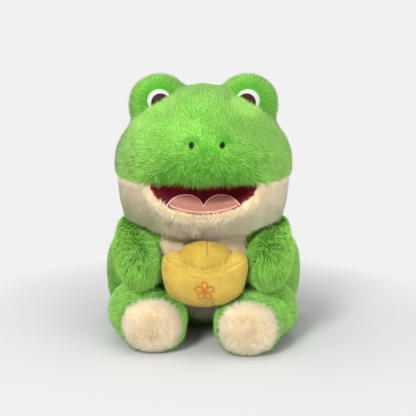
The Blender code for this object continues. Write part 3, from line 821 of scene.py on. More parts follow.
# %% [markdown]
# ## The ingot's folds
#
# The ingot is a boat of yellow velour with a domed lump on top. Where the two
# meet, the cloth is gathered into small uneven folds, and one seam runs down
# the middle of the dome and one up from the bottom of the boat.

# %% Landmarks, read from the frame


def box_middle(*nodes):
    """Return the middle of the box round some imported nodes."""
    lows, highs = zip(*[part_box(node) for node in nodes])
    low = Vector([min(values) for values in zip(*lows)])
    high = Vector([max(values) for values in zip(*highs)])
    return np.array((low + high) / 2)


NOSE = box_middle("nostril_left", "nostril_right")
LIP_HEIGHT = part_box("head_crown_skin")[0].z
MOUTH_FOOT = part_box("mouth_lining")[0].z
EYES = {name: box_middle(f"eye_white_{name}") for name in SIDES}
EYE_RADIUS = (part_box("eye_white_left")[1].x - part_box("eye_white_left")[0].x) / 2
NOSTRILS = {name: box_middle(f"nostril_{name}") for name in SIDES}
NOSTRIL_HALF = (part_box("nostril_left")[1].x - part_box("nostril_left")[0].x) / 2
SOLES = {name: box_middle(f"sole_{name}") for name in SIDES}
INGOT = box_middle("ingot_boat_skin")
HANDS = {}
for name in SIDES:
    low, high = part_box(f"arm_{name}_skin")
    HANDS[name] = np.array(((low.x + high.x) / 2, low.y, low.z))
print("nose at", np.round(NOSE / MM, 1), "lip at", round(LIP_HEIGHT / MM, 1))

# %% Folds and seams of the ingot
FOLD_DEPTH = 0.7 * MM
FOLD_SPACING = 6.0 * MM
FOLD_REACH = 5.0 * MM
GROOVE_DEPTH = 1.1 * MM
GROOVE_HALF = 0.9 * MM
GROOVE_EASE = 3.0 * MM
DOME_SEAM_ASIDE = 2.0 * MM
BOAT_SEAM_ASIDE = 7.0 * MM
BOAT_SEAM_TALL = 11.0 * MM
RIM_FOLD_DROP = 9.0 * MM
RIM_FOLD_CURVE = 8.0
RIM_FOLD_HALF = 1.6 * MM
RIM_FOLD_FRONT = 6.0 * MM
FOLD_DRIFT_SIZE = 90.0
FOLD_DRIFT = 5.0
DOME_SEAM_DOWN = 4.0 * MM
DOME_SEAM_UP = 9.0 * MM
BOAT_SEAM_DOWN = 9.0 * MM


def ease(values, low, high):
    """Rise smoothly from 0 at low to 1 at high."""
    share = np.clip((values - low) / (high - low), 0.0, 1.0)
    return share * share * (3 - 2 * share)


def vertex_arrays(mesh):
    """Return the places and normals of a mesh's points."""
    count = len(mesh.vertices)
    places, normals = np.zeros(count * 3), np.zeros(count * 3)
    mesh.vertices.foreach_get("co", places)
    mesh.vertices.foreach_get("normal", normals)
    return places.reshape(-1, 3), normals.reshape(-1, 3)


def seam_distance(form, places):
    """Return each point's distance from the line where two panels meet."""
    bm = opened(form.data)
    line = point_tree([vert.co.copy() for vert in seam_points(bm)[0]])
    bm.free()
    return np.array([line.find(place)[2] for place in places])


def fold_depths(form, places):
    """Return how deep the gathered cloth sinks at each point."""
    near = np.exp(-seam_distance(form, places) / FOLD_REACH)
    drift = np.array([noise.noise(Vector(place) * FOLD_DRIFT_SIZE) for place in places])
    wave = 0.5 + 0.5 * np.sin(math.tau * places[:, 0] / FOLD_SPACING + FOLD_DRIFT * drift)
    return FOLD_DEPTH * near * wave


def groove_depths(places, x, low, high):
    """Return how deep an upright seam at x sinks between two heights."""
    across = np.exp(-((places[:, 0] - x) / GROOVE_HALF) ** 2)
    along = ease(places[:, 2], low, low + GROOVE_EASE) * (1 - ease(places[:, 2], high - GROOVE_EASE, high))
    return GROOVE_DEPTH * across * along


def rim_fold_depths(places):
    """Return how deep the smiling fold under the rim sinks on the ingot's front."""
    front = ease(-places[:, 1], -INGOT[1], -INGOT[1] + RIM_FOLD_FRONT)
    across = places[:, 0] - INGOT[0]
    line = INGOT[2] + RIM_FOLD_DROP + RIM_FOLD_CURVE * across ** 2
    return GROOVE_DEPTH * front * np.exp(-((places[:, 2] - line) / RIM_FOLD_HALF) ** 2)


def fold_ingot(form):
    """Press the folds and seams into the ingot."""
    round_off(form)
    places, normals = vertex_arrays(form.data)
    low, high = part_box("ingot_boat_skin")
    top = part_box("ingot_dome_skin")[1].z
    depth = fold_depths(form, places)
    depth += groove_depths(places, INGOT[0] + DOME_SEAM_ASIDE, high.z - DOME_SEAM_DOWN, top + DOME_SEAM_UP)
    foot = low.z - BOAT_SEAM_DOWN
    depth += groove_depths(places, INGOT[0] + BOAT_SEAM_ASIDE, foot, low.z + BOAT_SEAM_TALL)
    depth += rim_fold_depths(places)
    form.data.vertices.foreach_set("co", (places - normals * depth[:, None]).ravel())
    form.data.update()


fold_ingot(forms["ingot"])
print("ingot folded:", len(forms["ingot"].data.vertices), "points")

# %% [markdown]
# ## From forms to sewn panels
#
# Each blown-up form is taken apart again into the panels that the frog is
# sewn from, and each panel gets the thickness of its knitted backing. The
# wadding is the same form a little smaller. Limbs have to move: their first
# few centimetres stay with the trunk that they are sewn to, and the rest
# follows the limb, so that the cloth bends at the root and never opens.

# %% Riding and bending
ARM_BEND = (0.012, 0.046)
LEG_BEND = (0.022, 0.060)
BEND_REACH = {"arm": ARM_BEND, "leg": LEG_BEND}


def part_body(name):
    """Return the moving body that a body part belongs to."""
    if name.startswith(("arm", "leg")):
        return name
    return "head" if name == "head" else "trunk"


def carry(piece, name):
    """Let a piece ride on its body, and bend a limb's piece at the root."""
    body = part_body(name)
    if body in ("trunk", "head"):
        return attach(piece, body)
    near, far = BEND_REACH[body.split("_")[0]]
    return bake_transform(piece, "trunk", body, start=(0, -near, 0), end=(0, -far, 0))


# %% Cut out the panels
BACKING_THICK = 1.5 * MM
WADDING_GAP = 2.2 * MM
WADDING_TRIANGLES_SHARE = 0.25
PANEL_LOOKS = {
    "body_skin": ("body_plush", GREEN_BACKING, "green_plush"),
    "belly_panel": ("belly_plush", CREAM_BACKING, "cream_plush"),
    "head_crown_skin": ("crown_plush", GREEN_BACKING, "green_plush"),
    "head_back_skin": ("nape_plush", GREEN_BACKING, "green_plush"),
    "jaw_skin": ("jaw_plush", CREAM_BACKING, "cream_plush"),
    "mouth_lining": ("mouth_velour", DARK_RED_VELOUR, "dark_red_velour"),
    "ingot_boat_skin": ("ingot_boat_velour", YELLOW_VELOUR, "yellow_velour"),
    "ingot_dome_skin": ("ingot_dome_velour", YELLOW_VELOUR, "yellow_velour"),
}
for name in SIDES:
    PANEL_LOOKS[f"eye_bump_{name}_skin"] = (f"eye_bump_{name}_plush", GREEN_BACKING, "green_plush")
    PANEL_LOOKS[f"arm_{name}_skin"] = (f"arm_{name}_plush", GREEN_BACKING, "green_plush")
    PANEL_LOOKS[f"leg_{name}_skin"] = (f"leg_{name}_plush", GREEN_BACKING, "green_plush")
    PANEL_LOOKS[f"sole_{name}"] = (f"sole_{name}_plush", CREAM_BACKING, "cream_plush")


def cut_out(form, number, name):
    """Return one panel of a form as an open surface of its own."""
    bm = opened(form.data)
    rest = [face for face in bm.faces if face.material_index != number]
    bmesh.ops.delete(bm, geom=rest, context="FACES")
    mesh = stored(bm, bpy.data.meshes.new(name))
    mesh.materials.clear()
    for face in mesh.polygons:
        face.material_index = 0
    return mesh


def sew_panel(part, number, panel):
    """Make the backing of one panel: its surface, given thickness inwards."""
    piece_name, material, slot = PANEL_LOOKS[panel]
    surface = cut_out(forms[part], number, piece_name)
    piece = new_object(piece_name, surface.copy())
    piece.data.materials.append(material)
    wall = piece.modifiers.new("wall", "SOLIDIFY")
    wall.thickness = BACKING_THICK
    wall.offset = -1.0
    settle(piece)
    piece.data.shade_smooth()
    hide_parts(panel)
    carry(piece, part)
    return surface


def stuff(part):
    """Make the wadding of a body part: its form, drawn in from the backing."""
    mesh = forms[part].data.copy()
    for vert, normal in zip(mesh.vertices, [vert.normal.copy() for vert in mesh.vertices]):
        vert.co -= normal * WADDING_GAP
    mesh.materials.clear()
    mesh.materials.append(WADDING)
    for face in mesh.polygons:
        face.material_index = 0
    piece = new_object(part + "_wadding", mesh)
    thin = piece.modifiers.new("thin", "DECIMATE")
    thin.ratio = WADDING_TRIANGLES_SHARE
    settle(piece)
    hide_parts(*BODY_PARTS[part]["stuffing"])
    return carry(piece, part)


surfaces = {}
for part, made_of in BODY_PARTS.items():
    for number, panel in enumerate(made_of["panels"]):
        surfaces[panel] = sew_panel(part, number, panel)
    stuff(part)
print("panels sewn:", len(surfaces))

# %% [markdown]
# ## How the pile lies
#
# Plush is combed. On the head the strands run away from the nose, over the
# brow and down over the lip; round an eye and on a sole they run outwards; on
# a limb they run towards its end. They are long on the lip, the hands, the
# chin and the soles, and short on the brow. So every panel carries three
# values at each point: which way the pile leans, how long it is, and how
# thickly it grows. Two more say where light and shade are painted into it,
# lighter or darker, and where it is ruffled. Where an arm or a leg presses it,
# it is flat and short, and it doesn't grow on the floor or where two parts stay
# together for good.

# %% Comb, length and cover of each panel
DOWN = np.array((0.0, 0.0, -1.0))
UP = -DOWN
BACK_AND_UP = np.array((0.0, 0.6, 0.8))
BACK_AND_DOWN = np.array((0.0, 0.6, -0.8))
DOWN_AND_FORWARDS = np.array((0.0, -0.6, -0.8))
FACE_FRONT = (0.020, 0.070)
HEAD_BACK = (0.0, 0.040)
HEAD_SIDES = (0.050, 0.080)
CALM_NOSE = 0.014
BROW_RISE = (0.004, 0.030)
LIP_FROM = -0.002
LIP_SEAM = (0.002, 0.014)
LIP_SEAM_ASIDE = (0.046, 0.060)
FRINGE_DEEP = (0.006, 0.014)
JAW_SEAM = (0.001, 0.006)
JAW_SEAM_ASIDE = (0.050, 0.065)
JAW_FROM = 0.004
UNDERSIDE = (0.30, 0.85)
SOLE_RIM = (0.008, 0.022)
HAND_FROM = (0.030, 0.085)
THIGH_SIDE = (0.065, 0.085)
NAPE_LENGTH = 3.8
BODY_LENGTH = 4.0
BELLY_LENGTH = 3.6
SOLE_LENGTH = 4.4
INGOT_LENGTH = 0.9
EYE_BUMP_LENGTH = 2.9
FRINGE_NEAR = 14.0 * MM
FRINGE_FAR = 20.0 * MM
FRINGE_DROP_LEAST = -4.0 * MM
FRINGE_DROP_MOST = 4.0 * MM
FRINGE_LONGER = 2.6
CHIN_DROP = 12.0 * MM
CHIN_STANDS = 0.85
LIP_REACH = 7.0 * MM
SOLE_DRIFT_SIZE = 90.0
LIP_DRIFT_SIZE = 160.0


def unit(vectors):
    """Scale each vector to length 1."""
    return vectors / np.maximum(np.linalg.norm(vectors, axis=-1, keepdims=True), 1e-9)


def along_surface(vectors, normals):
    """Lay vectors along the surface; they keep their length, up to 1."""
    flat = vectors - normals * np.sum(vectors * normals, axis=1, keepdims=True)
    strength = np.minimum(np.linalg.norm(vectors, axis=1, keepdims=True), 1.0)
    return unit(flat) * strength


def crown_pile(places, normals):
    """Away from the nose; long on the lip, short on the brow."""
    from_nose = places - NOSE
    away = from_nose / np.maximum(np.linalg.norm(from_nose, axis=1, keepdims=True), CALM_NOSE)
    front = ease(-places[:, 1], *FACE_FRONT)
    behind = ease(places[:, 1], *HEAD_BACK)[:, None]
    below = ease(NOSE[2] - places[:, 2], LIP_FROM, NOSE[2] - LIP_HEIGHT)
    sides = ease(np.abs(places[:, 0]), *HEAD_SIDES)
    above = ease(places[:, 2] - NOSE[2], *BROW_RISE)
    comb = away * (1 - 0.8 * above)[:, None] + BACK_AND_UP * above[:, None]
    comb = comb * (1 - behind) + BACK_AND_DOWN * behind
    comb = comb + DOWN * (0.5 * below * (1 - sides))[:, None]
    seam = 1 - ease(places[:, 2] - LIP_HEIGHT, *LIP_SEAM)
    comb = comb + UP * (0.6 * seam * ease(np.abs(places[:, 0]), *LIP_SEAM_ASIDE))[:, None]
    uneven = np.array([noise.noise(Vector(place) * LIP_DRIFT_SIZE) for place in places])
    length = 2.9 - 0.5 * above + (3.3 + 2.6 * uneven) * below * front + 0.9 * sides
    for eye in EYES.values():
        from_eye = places - eye
        near = 1 - ease(np.linalg.norm(from_eye[:, (0, 2)], axis=1), FRINGE_NEAR, FRINGE_FAR)
        near = near * ease(-from_eye[:, 2], FRINGE_DROP_LEAST, FRINGE_DROP_MOST)
        near = near * (1 - ease(from_eye[:, 1], *FRINGE_DEEP))
        comb = comb * (1 - near[:, None]) + UP * (1.5 * near)[:, None]
        length = length + FRINGE_LONGER * near
    for nostril in NOSTRILS.values():
        from_pit = places - nostril
        distance = np.linalg.norm(from_pit[:, (0, 2)], axis=1)
        near = (1 - ease(distance, 2 * NOSTRIL_HALF, 4 * NOSTRIL_HALF)) * front
        comb = comb * (1 - near[:, None]) + unit(from_pit) * near[:, None]
        length = length * (1 - 0.5 * near)
    return comb, length


def nape_pile(places, normals):
    """Straight down."""
    return np.broadcast_to(DOWN, places.shape), np.full(len(places), NAPE_LENGTH)


def jaw_pile(places, normals):
    """Up from the skin at the lip, down below it, and hanging long under the chin."""
    outwards = places * np.array((3.0, 0.0, 0.0))
    below = ease(LIP_HEIGHT - places[:, 2], JAW_FROM, LIP_HEIGHT - MOUTH_FOOT + CHIN_DROP)
    under = ease(-normals[:, 2], *UNDERSIDE)[:, None]
    comb = unit(DOWN + outwards) * (1 - CHIN_STANDS * under)
    mouth = point_tree([vert.co for vert in surfaces["mouth_lining"].vertices])
    spots, _, distances = zip(*[mouth.find(place) for place in places])
    near = 1 - ease(np.array(distances), 0.0, LIP_REACH)[:, None]
    towards = unit(np.array([list(spot) for spot in spots]) - places)
    comb = comb * (1 - near) + towards * near
    seam = 1 - ease(LIP_HEIGHT - places[:, 2], *JAW_SEAM)
    comb = comb + UP * (0.9 * seam * ease(np.abs(places[:, 0]), *JAW_SEAM_ASIDE))[:, None]
    return comb, 2.6 + 4.8 * below ** 2 + 3.0 * under[:, 0] + near[:, 0]


def body_pile(places, normals):
    """Down and outwards over the flanks."""
    outwards = places * np.array((5.0, 0.0, 0.0))
    return DOWN + outwards, np.full(len(places), BODY_LENGTH)


def belly_pile(places, normals):
    """Down."""
    return np.broadcast_to(DOWN, places.shape), np.full(len(places), BELLY_LENGTH)


def round_pile(middle, length):
    """Return a pile that lies outwards from a middle."""
    def lie(places, normals):
        return unit(places - middle), np.full(len(places), length)
    return lie


def every_way(places):
    """Return directions that drift slowly from place to place."""
    return np.array([noise.noise_vector(Vector(place) * SOLE_DRIFT_SIZE) for place in places])


def sole_pile(middle):
    """Return a pile that drifts every way in the middle and lies outwards at the rim."""
    def lie(places, normals):
        distance = np.linalg.norm((places - middle)[:, (0, 2)], axis=1)
        rim = ease(distance, *SOLE_RIM)[:, None]
        comb = unit(places - middle) * rim + every_way(places) * 0.6 * (1 - rim)
        return comb, np.full(len(places), SOLE_LENGTH)
    return lie


def ingot_pile(places, normals):
    """So short that it only softens the velour."""
    return every_way(places), np.full(len(places), INGOT_LENGTH)


def arm_pile(hand):
    """Return a pile that runs down the arm and hangs from the hand."""
    def lie(places, normals):
        share = ease(-places[:, 1], *HAND_FROM)
        return unit(hand - places) * 0.5 + DOWN_AND_FORWARDS * 1.2, 4.2 + 3.6 * share
    return lie


def leg_pile(places, normals):
    """Down and outwards, longer on the outer side."""
    outwards = places * np.array((8.0, 0.0, 0.0))
    return DOWN + outwards, 4.2 + 1.0 * ease(np.abs(places[:, 0]), *THIGH_SIDE)


PILES = {
    "head_crown_skin": crown_pile,
    "head_back_skin": nape_pile,
    "jaw_skin": jaw_pile,
    "body_skin": body_pile,
    "belly_panel": belly_pile,
    "ingot_boat_skin": ingot_pile,
    "ingot_dome_skin": ingot_pile,
}
for name in SIDES:
    PILES[f"eye_bump_{name}_skin"] = round_pile(EYES[name], EYE_BUMP_LENGTH)
    PILES[f"arm_{name}_skin"] = arm_pile(HANDS[name])
    PILES[f"leg_{name}_skin"] = leg_pile
    PILES[f"sole_{name}"] = sole_pile(SOLES[name])
print("piles:", len(PILES))

# %% Painted light and shade: lighter and darker places
# The SHADE and LIGHT values paint shade and light into the pile's colour.
EYE_SHADE = 1.0
MUZZLE_SHADE = 1.5
CHIN_LIGHT = 0.3
CHEEK_LIGHT = 0.4
HAND_LIGHT = 0.7
NOSTRIL_SHADE = 1.2
NOSTRIL_LIGHT = 0.6
MUZZLE_RUFFLE = 3.2
DOME_SHADE = 2.0
LIMB_RUFFLE = 1.0
CHIN_RUFFLE = 0.8
SOLE_LIGHT = 0.5
EYE_SHADE_REACH = 1.9
MUZZLE_SIDES = (0.025, 0.060)
CHEEKS = (0.040, 0.070)
HAND_HEIGHT = (0.045, 0.065)
CHIN_LIGHT_DROP = (0.010, 0.040)
CHIN_RUFFLE_DROP = (0.030, 0.050)
RUFFLE_FRONT = (0.030, 0.070)


def painted_light_and_shade(places, panel):
    """Return the painted light and shade: how much lighter or darker than its panel each place is painted.
    """
    painted_shading = np.zeros(len(places))
    if panel.startswith("eye_bump"):
        # Painted shade: a darker ring round each eye, where the pile round the white would shade it.
        for eye in EYES.values():
            distance = np.linalg.norm(places - eye, axis=1)
            painted_shading -= EYE_SHADE * (1 - ease(distance, EYE_RADIUS, EYE_SHADE_REACH * EYE_RADIUS))
    if panel == "head_crown_skin":
        front = ease(-places[:, 1], *FACE_FRONT)
        below = ease(NOSE[2] - places[:, 2], LIP_FROM, 0.8 * (NOSE[2] - LIP_HEIGHT))
        middle = 1 - ease(np.abs(places[:, 0]), *MUZZLE_SIDES)
        # Painted light: the cheeks are lighter.
        painted_shading += CHEEK_LIGHT * ease(np.abs(places[:, 0]), *CHEEKS)
        # Painted shade: the front of the muzzle below the nose is darker, where it curves down.
        painted_shading -= MUZZLE_SHADE * below * middle * front
        # Painted shade above each nostril pit, and painted light just below it.
        for nostril in NOSTRILS.values():
            from_pit = places - nostril
            near = 1 - ease(np.linalg.norm(from_pit[:, (0, 2)], axis=1), NOSTRIL_HALF, 4 * NOSTRIL_HALF)
            over = ease(from_pit[:, 2], -NOSTRIL_HALF, NOSTRIL_HALF)
            painted_shading += near * front * (NOSTRIL_LIGHT * (1 - over) - NOSTRIL_SHADE * over)
    if panel.startswith("arm"):
        # Painted light: the arms are lighter towards the hands.
        painted_shading += HAND_LIGHT * (1 - ease(places[:, 2], *HAND_HEIGHT))
    if panel == "jaw_skin":
        # Painted light on the lower chin, which hangs in shade.
        painted_shading += CHIN_LIGHT * ease(LIP_HEIGHT - places[:, 2], *CHIN_LIGHT_DROP)
    if panel == "ingot_dome_skin":
        # Painted shadow of the chin on the ingot's dome.
        painted_shading -= DOME_SHADE
    if panel.startswith("sole"):
        # Painted light: each sole is lighter all over.
        painted_shading += SOLE_LIGHT
    return painted_shading


def ruffles(places, panel):
    """Return how much neighbouring strands differ in tone and direction."""
    ruffle = np.ones(len(places))
    if panel == "head_crown_skin":
        below = ease(NOSE[2] - places[:, 2], -0.004, 0.6 * (NOSE[2] - LIP_HEIGHT))
        ruffle += MUZZLE_RUFFLE * below * ease(-places[:, 1], *RUFFLE_FRONT)
    if panel == "jaw_skin":
        ruffle += CHIN_RUFFLE * ease(LIP_HEIGHT - places[:, 2], *CHIN_RUFFLE_DROP)
    if panel.startswith(("arm", "sole")):
        ruffle += LIMB_RUFFLE
    return ruffle


print("tint of a sole:", SOLE_LIGHT)

# %% Write those values on the panels
PRESSED = 0.8 * MM
ROOM_MOST = 12.0 * MM
FLAT_PILE = 1.2 * MM
LASTING_NEIGHBOURS = {part: ("head",) for part in BODY_PARTS}
LASTING_NEIGHBOURS["trunk"] = ("head", "ingot")
LASTING_NEIGHBOURS["ingot"] = ("head", "trunk")
LASTING_NEIGHBOURS["head"] = [part for part in BODY_PARTS if part != "head"]
FLOOR_CLEAR = 3.0 * MM
FLOOR_FACING = -0.3
LEAN_SHARE = 0.85


def growth(places, normals, panel, lasting_room):
    """Return 1 where pile grows and 0 where something covers it for good."""
    cover = (lasting_room > PRESSED).astype(float)
    cover[(places[:, 2] < FLOOR_CLEAR) & (normals[:, 2] < FLOOR_FACING)] = 0.0
    covered = [(nostril, NOSTRIL_HALF) for nostril in NOSTRILS.values()]
    if panel.startswith("eye_bump"):
        covered += [(eye, EYE_RADIUS) for eye in EYES.values()]
    for middle, radius in covered:
        distance = np.linalg.norm((places - middle)[:, (0, 2)], axis=1)
        cover[(distance < radius) & (normals[:, 1] < 0)] = 0.0
    return cover


def write_values(mesh, kind, name, values):
    """Store one value for each point of a mesh."""
    attribute = mesh.attributes.new(name, kind, "POINT")
    field = "vector" if kind == "FLOAT_VECTOR" else "value"
    attribute.data.foreach_set(field, np.asarray(values, np.float32).ravel())


part_trees = {part: surface_tree(opened(form.data)) for part, form in forms.items()}
for part, made_of in BODY_PARTS.items():
    lasting_trees = {other: part_trees[other] for other in LASTING_NEIGHBOURS[part]}
    for panel in made_of["panels"]:
        if panel not in PILES:
            continue
        places, normals = vertex_arrays(surfaces[panel])
        comb, length = PILES[panel](places, normals)
        room = room_around(places, part, part_trees, ROOM_MOST)
        length = np.maximum(np.minimum(length * MM, room), FLAT_PILE)
        lasting_room = room_around(places, part, lasting_trees, ROOM_MOST)
        write_values(surfaces[panel], "FLOAT_VECTOR", "comb", along_surface(comb, normals) * LEAN_SHARE)
        write_values(surfaces[panel], "FLOAT", "pile", length)
        # Painted light and shade for each place.
        write_values(surfaces[panel], "FLOAT", "painted_shading", painted_light_and_shade(places, panel))
        write_values(surfaces[panel], "FLOAT", "ruffle", ruffles(places, panel))
        write_values(surfaces[panel], "FLOAT", "cover", growth(places, normals, panel, lasting_room))
print("combed:", ", ".join(sorted(PILES)))

# %% [markdown]
# ## Growing the pile
#
# One Geometry Nodes tree grows the strands. It scatters roots over a panel as
# thickly as the panel says, scatters far fewer clump points, and stands a thin
# pointed strand on each root. The strand's tip is drawn along the comb and
# towards the nearest clump point, which gives plush its small tufts. Each
# strand keeps two values for the material: how far along it a point lies, and
# a tone of its own with its panel's painted light and shade added. A large
# panel grows its pile in several passes with other seeds, so that no single
# piece becomes heavy.

# %% Node helpers for the pile


def vector_math(tree, operation, first, second=None, scale=None):
    """Add a Vector Math node that works on sockets, vectors or a scale."""
    given = {0: first, 1: second, "Scale": scale}
    inputs = {key: value for key, value in given.items() if value is not None}
    return add_node(tree, "ShaderNodeVectorMath", inputs, operation=operation).outputs[0]


def panel_value(tree, name, data_type="FLOAT"):
    """Read a value that the panel carries."""
    return add_node(
        tree, "GeometryNodeInputNamedAttribute", {"Name": name}, data_type=data_type).outputs["Attribute"]


def in_use(sockets, name=None):
    """Return those of a node's sockets that are in use, or have a name too."""
    return [socket for socket in sockets if socket.enabled and name in (None, socket.name)]


def random_value(tree, low, high, seed, data_type="FLOAT"):
    """Return a random number or vector for each strand."""
    node = add_node(tree, "FunctionNodeRandomValue", data_type=data_type)
    for socket, value in zip(in_use(node.inputs), (low, high)):
        socket.default_value = value
    plug(tree, in_use(node.inputs, "Seed")[0], seed)
    return in_use(node.outputs)[0]


def scatter(tree, surface, density, seed):
    """Scatter points over a surface."""
    return add_node(tree, "GeometryNodeDistributePointsOnFaces", {
        "Mesh": surface, "Density": density, "Seed": seed}, distribute_method="RANDOM")


def keep_value(tree, geometry, name, value, data_type, domain):
    """Store a named value on the geometry."""
    node = add_node(tree, "GeometryNodeStoreNamedAttribute", {
        "Name": name, "Geometry": geometry}, data_type=data_type, domain=domain)
    plug(tree, in_use(node.inputs, "Value")[0], value)
    return node.outputs["Geometry"]


def scaled_size(tree, x, y, z):
    """Join three sizes into one vector."""
    return add_node(tree, "ShaderNodeCombineXYZ", {"X": x, "Y": y, "Z": z}).outputs[0]


def instances(tree, points, instance, rotation, scale):
    """Put one instance on each point, turned and scaled."""
    return add_node(tree, "GeometryNodeInstanceOnPoints", {
        "Points": points, "Instance": instance, "Rotation": rotation, "Scale": scale}).outputs["Instances"]


def dressed(tree, geometry, material):
    """Shade a geometry smooth and give it its material."""
    smooth = add_node(tree, "GeometryNodeSetShadeSmooth", {"Geometry": geometry}).outputs["Geometry"]
    return add_node(tree, "GeometryNodeSetMaterial", {
        "Geometry": smooth, "Material": material}).outputs["Geometry"]


def pile_inputs(group):
    """Name the pile tree's inputs."""
    group_socket(group, "Panel", "Geometry")
    group_socket(group, "Strands per Square Metre", "Float", value=1.0e6)
    group_socket(group, "Clumps per Square Metre", "Float", value=1.2e5)
    group_socket(group, "Strand Width", "Float", value=0.3 * MM)
    group_socket(group, "Strand Steps", "Int", value=1)
    group_socket(group, "Lean", "Float", value=0.6)
    group_socket(group, "Bend", "Float", value=0.4)
    group_socket(group, "Clump Pull", "Float", value=0.5)
    group_socket(group, "Mess", "Float", value=0.3)
    group_socket(group, "Seed", "Int", value=1)
    group_socket(group, "Clump Seed", "Int", value=1)
    group_socket(group, "Strand Material", "Material")
    group_socket(group, "Pile", "Geometry", "OUTPUT")


print("pile helpers ready")

# %% Geometry Nodes: the pile
STRAND_SIDES = 3
TUFT_SIZE = 110.0
LEAST_LENGTH_SHARE = 0.65
MOST_LENGTH_SHARE = 1.2
TUFT_LEAN = 4.0


def one_strand(tree, steps):
    """Return a pointed strand of unit length, which knows how far along it a point lies."""
    cone = add_node(tree, "GeometryNodeMeshCone", {
        "Vertices": STRAND_SIDES, "Radius Top": 0.0, "Radius Bottom": 1.0, "Depth": 1.0,
        "Side Segments": steps}, fill_type="NONE").outputs["Mesh"]
    position = add_node(tree, "GeometryNodeInputPosition").outputs[0]
    height = add_node(tree, "ShaderNodeSeparateXYZ", {0: position}).outputs["Z"]
    return keep_value(tree, cone, "strand_share", height, "FLOAT", "POINT")


def towards_clump(tree, panel, density, seed):
    """Return the vector from each strand's root to its clump point."""
    clumps = scatter(tree, panel, density, seed).outputs["Points"]
    position = add_node(tree, "GeometryNodeInputPosition").outputs[0]
    nearest = add_node(tree, "GeometryNodeSampleNearest", {"Geometry": clumps}).outputs["Index"]
    sample = add_node(tree, "GeometryNodeSampleIndex", {"Geometry": clumps}, data_type="FLOAT_VECTOR")
    plug(tree, sample.inputs["Value"], position)
    plug(tree, sample.inputs["Index"], nearest)
    return vector_math(tree, "SUBTRACT", sample.outputs["Value"], position)


def tuft_noise(tree):
    """Return a vector that drifts over the panel, so that neighbouring strands lean alike."""
    drift = add_node(tree, "ShaderNodeTexNoise", {"Scale": TUFT_SIZE, "Detail": 2.0})
    return vector_math(tree, "SUBTRACT", drift.outputs["Color"], (0.5, 0.5, 0.5))


def strand_length(tree, seed):
    """Return each strand's length: the panel's, with its own share."""
    share = random_value(tree, LEAST_LENGTH_SHARE, MOST_LENGTH_SHARE, seed)
    return math_node(tree, "MULTIPLY", panel_value(tree, "pile"), share)


def pile_group():
    """Build the tree that grows a pile on a panel."""
    tree = bpy.data.node_groups.new("pile", "GeometryNodeTree")
    pile_inputs(tree)
    start, end = add_node(tree, "NodeGroupInput"), add_node(tree, "NodeGroupOutput")
    given = start.outputs
    density = math_node(tree, "MULTIPLY", given["Strands per Square Metre"], panel_value(tree, "cover"))
    roots = scatter(tree, given["Panel"], density, given["Seed"])
    comb = panel_value(tree, "comb", "FLOAT_VECTOR")
    length = strand_length(tree, given["Seed"])
    loose = random_value(tree, (-0.5, -0.5, -0.5), (0.5, 0.5, 0.5), given["Seed"], "FLOAT_VECTOR")
    loose = vector_math(tree, "ADD", loose, vector_math(tree, "SCALE", tuft_noise(tree), scale=TUFT_LEAN))
    leaning = vector_math(tree, "SCALE", comb, scale=given["Lean"])
    stand = vector_math(tree, "ADD", roots.outputs["Normal"], leaning)
    mess = math_node(tree, "MULTIPLY", given["Mess"], panel_value(tree, "ruffle"))
    stand = vector_math(tree, "ADD", stand, vector_math(tree, "SCALE", loose, scale=mess))
    turn = add_node(tree, "FunctionNodeAlignRotationToVector", {"Vector": stand}, axis="Z")
    size = scaled_size(tree, given["Strand Width"], given["Strand Width"], length)
    strand = one_strand(tree, given["Strand Steps"])
    grown = instances(tree, roots.outputs["Points"], strand, turn.outputs["Rotation"], size)
    clump = towards_clump(tree, given["Panel"], given["Clumps per Square Metre"], given["Clump Seed"])
    pulled = vector_math(tree, "SCALE", clump, scale=given["Clump Pull"])
    hang = vector_math(tree, "SCALE", comb, scale=math_node(tree, "MULTIPLY", length, given["Bend"]))
    bend = vector_math(tree, "ADD", pulled, hang)
    plug(tree, end.inputs["Pile"], bend_strands(tree, grown, bend, given))
    return tree


def bend_strands(tree, strands, bend, given):
    """Realise the strands, draw their tips along the bend, and dress them."""
    chance = random_value(tree, -0.5, 0.5, given["Clump Seed"])
    own = math_node(tree, "MULTIPLY", chance, panel_value(tree, "ruffle"))
    # Each strand's tone: its own random share, plus its panel's painted light and shade.
    tone = math_node(tree, "ADD", math_node(tree, "ADD", own, 0.5), panel_value(tree, "painted_shading"))
    strands = keep_value(tree, strands, "strand_tone_and_shading", tone, "FLOAT", "INSTANCE")
    strands = keep_value(tree, strands, "strand_bend", bend, "FLOAT_VECTOR", "INSTANCE")
    real = add_node(tree, "GeometryNodeRealizeInstances", {"Geometry": strands}).outputs["Geometry"]
    along = panel_value(tree, "strand_share")
    squared = math_node(tree, "MULTIPLY", along, along)
    offset = vector_math(tree, "SCALE", panel_value(tree, "strand_bend", "FLOAT_VECTOR"), scale=squared)
    position = add_node(tree, "GeometryNodeInputPosition").outputs[0]
    bent = vector_math(tree, "MAXIMUM", vector_math(tree, "ADD", position, offset), (-1.0, -1.0, 0.0))
    moved = add_node(tree, "GeometryNodeSetPosition", {"Geometry": real, "Position": bent})
    return dressed(tree, moved.outputs["Geometry"], given["Strand Material"])


PILE = pile_group()
print("pile tree:", len(PILE.nodes), "nodes")

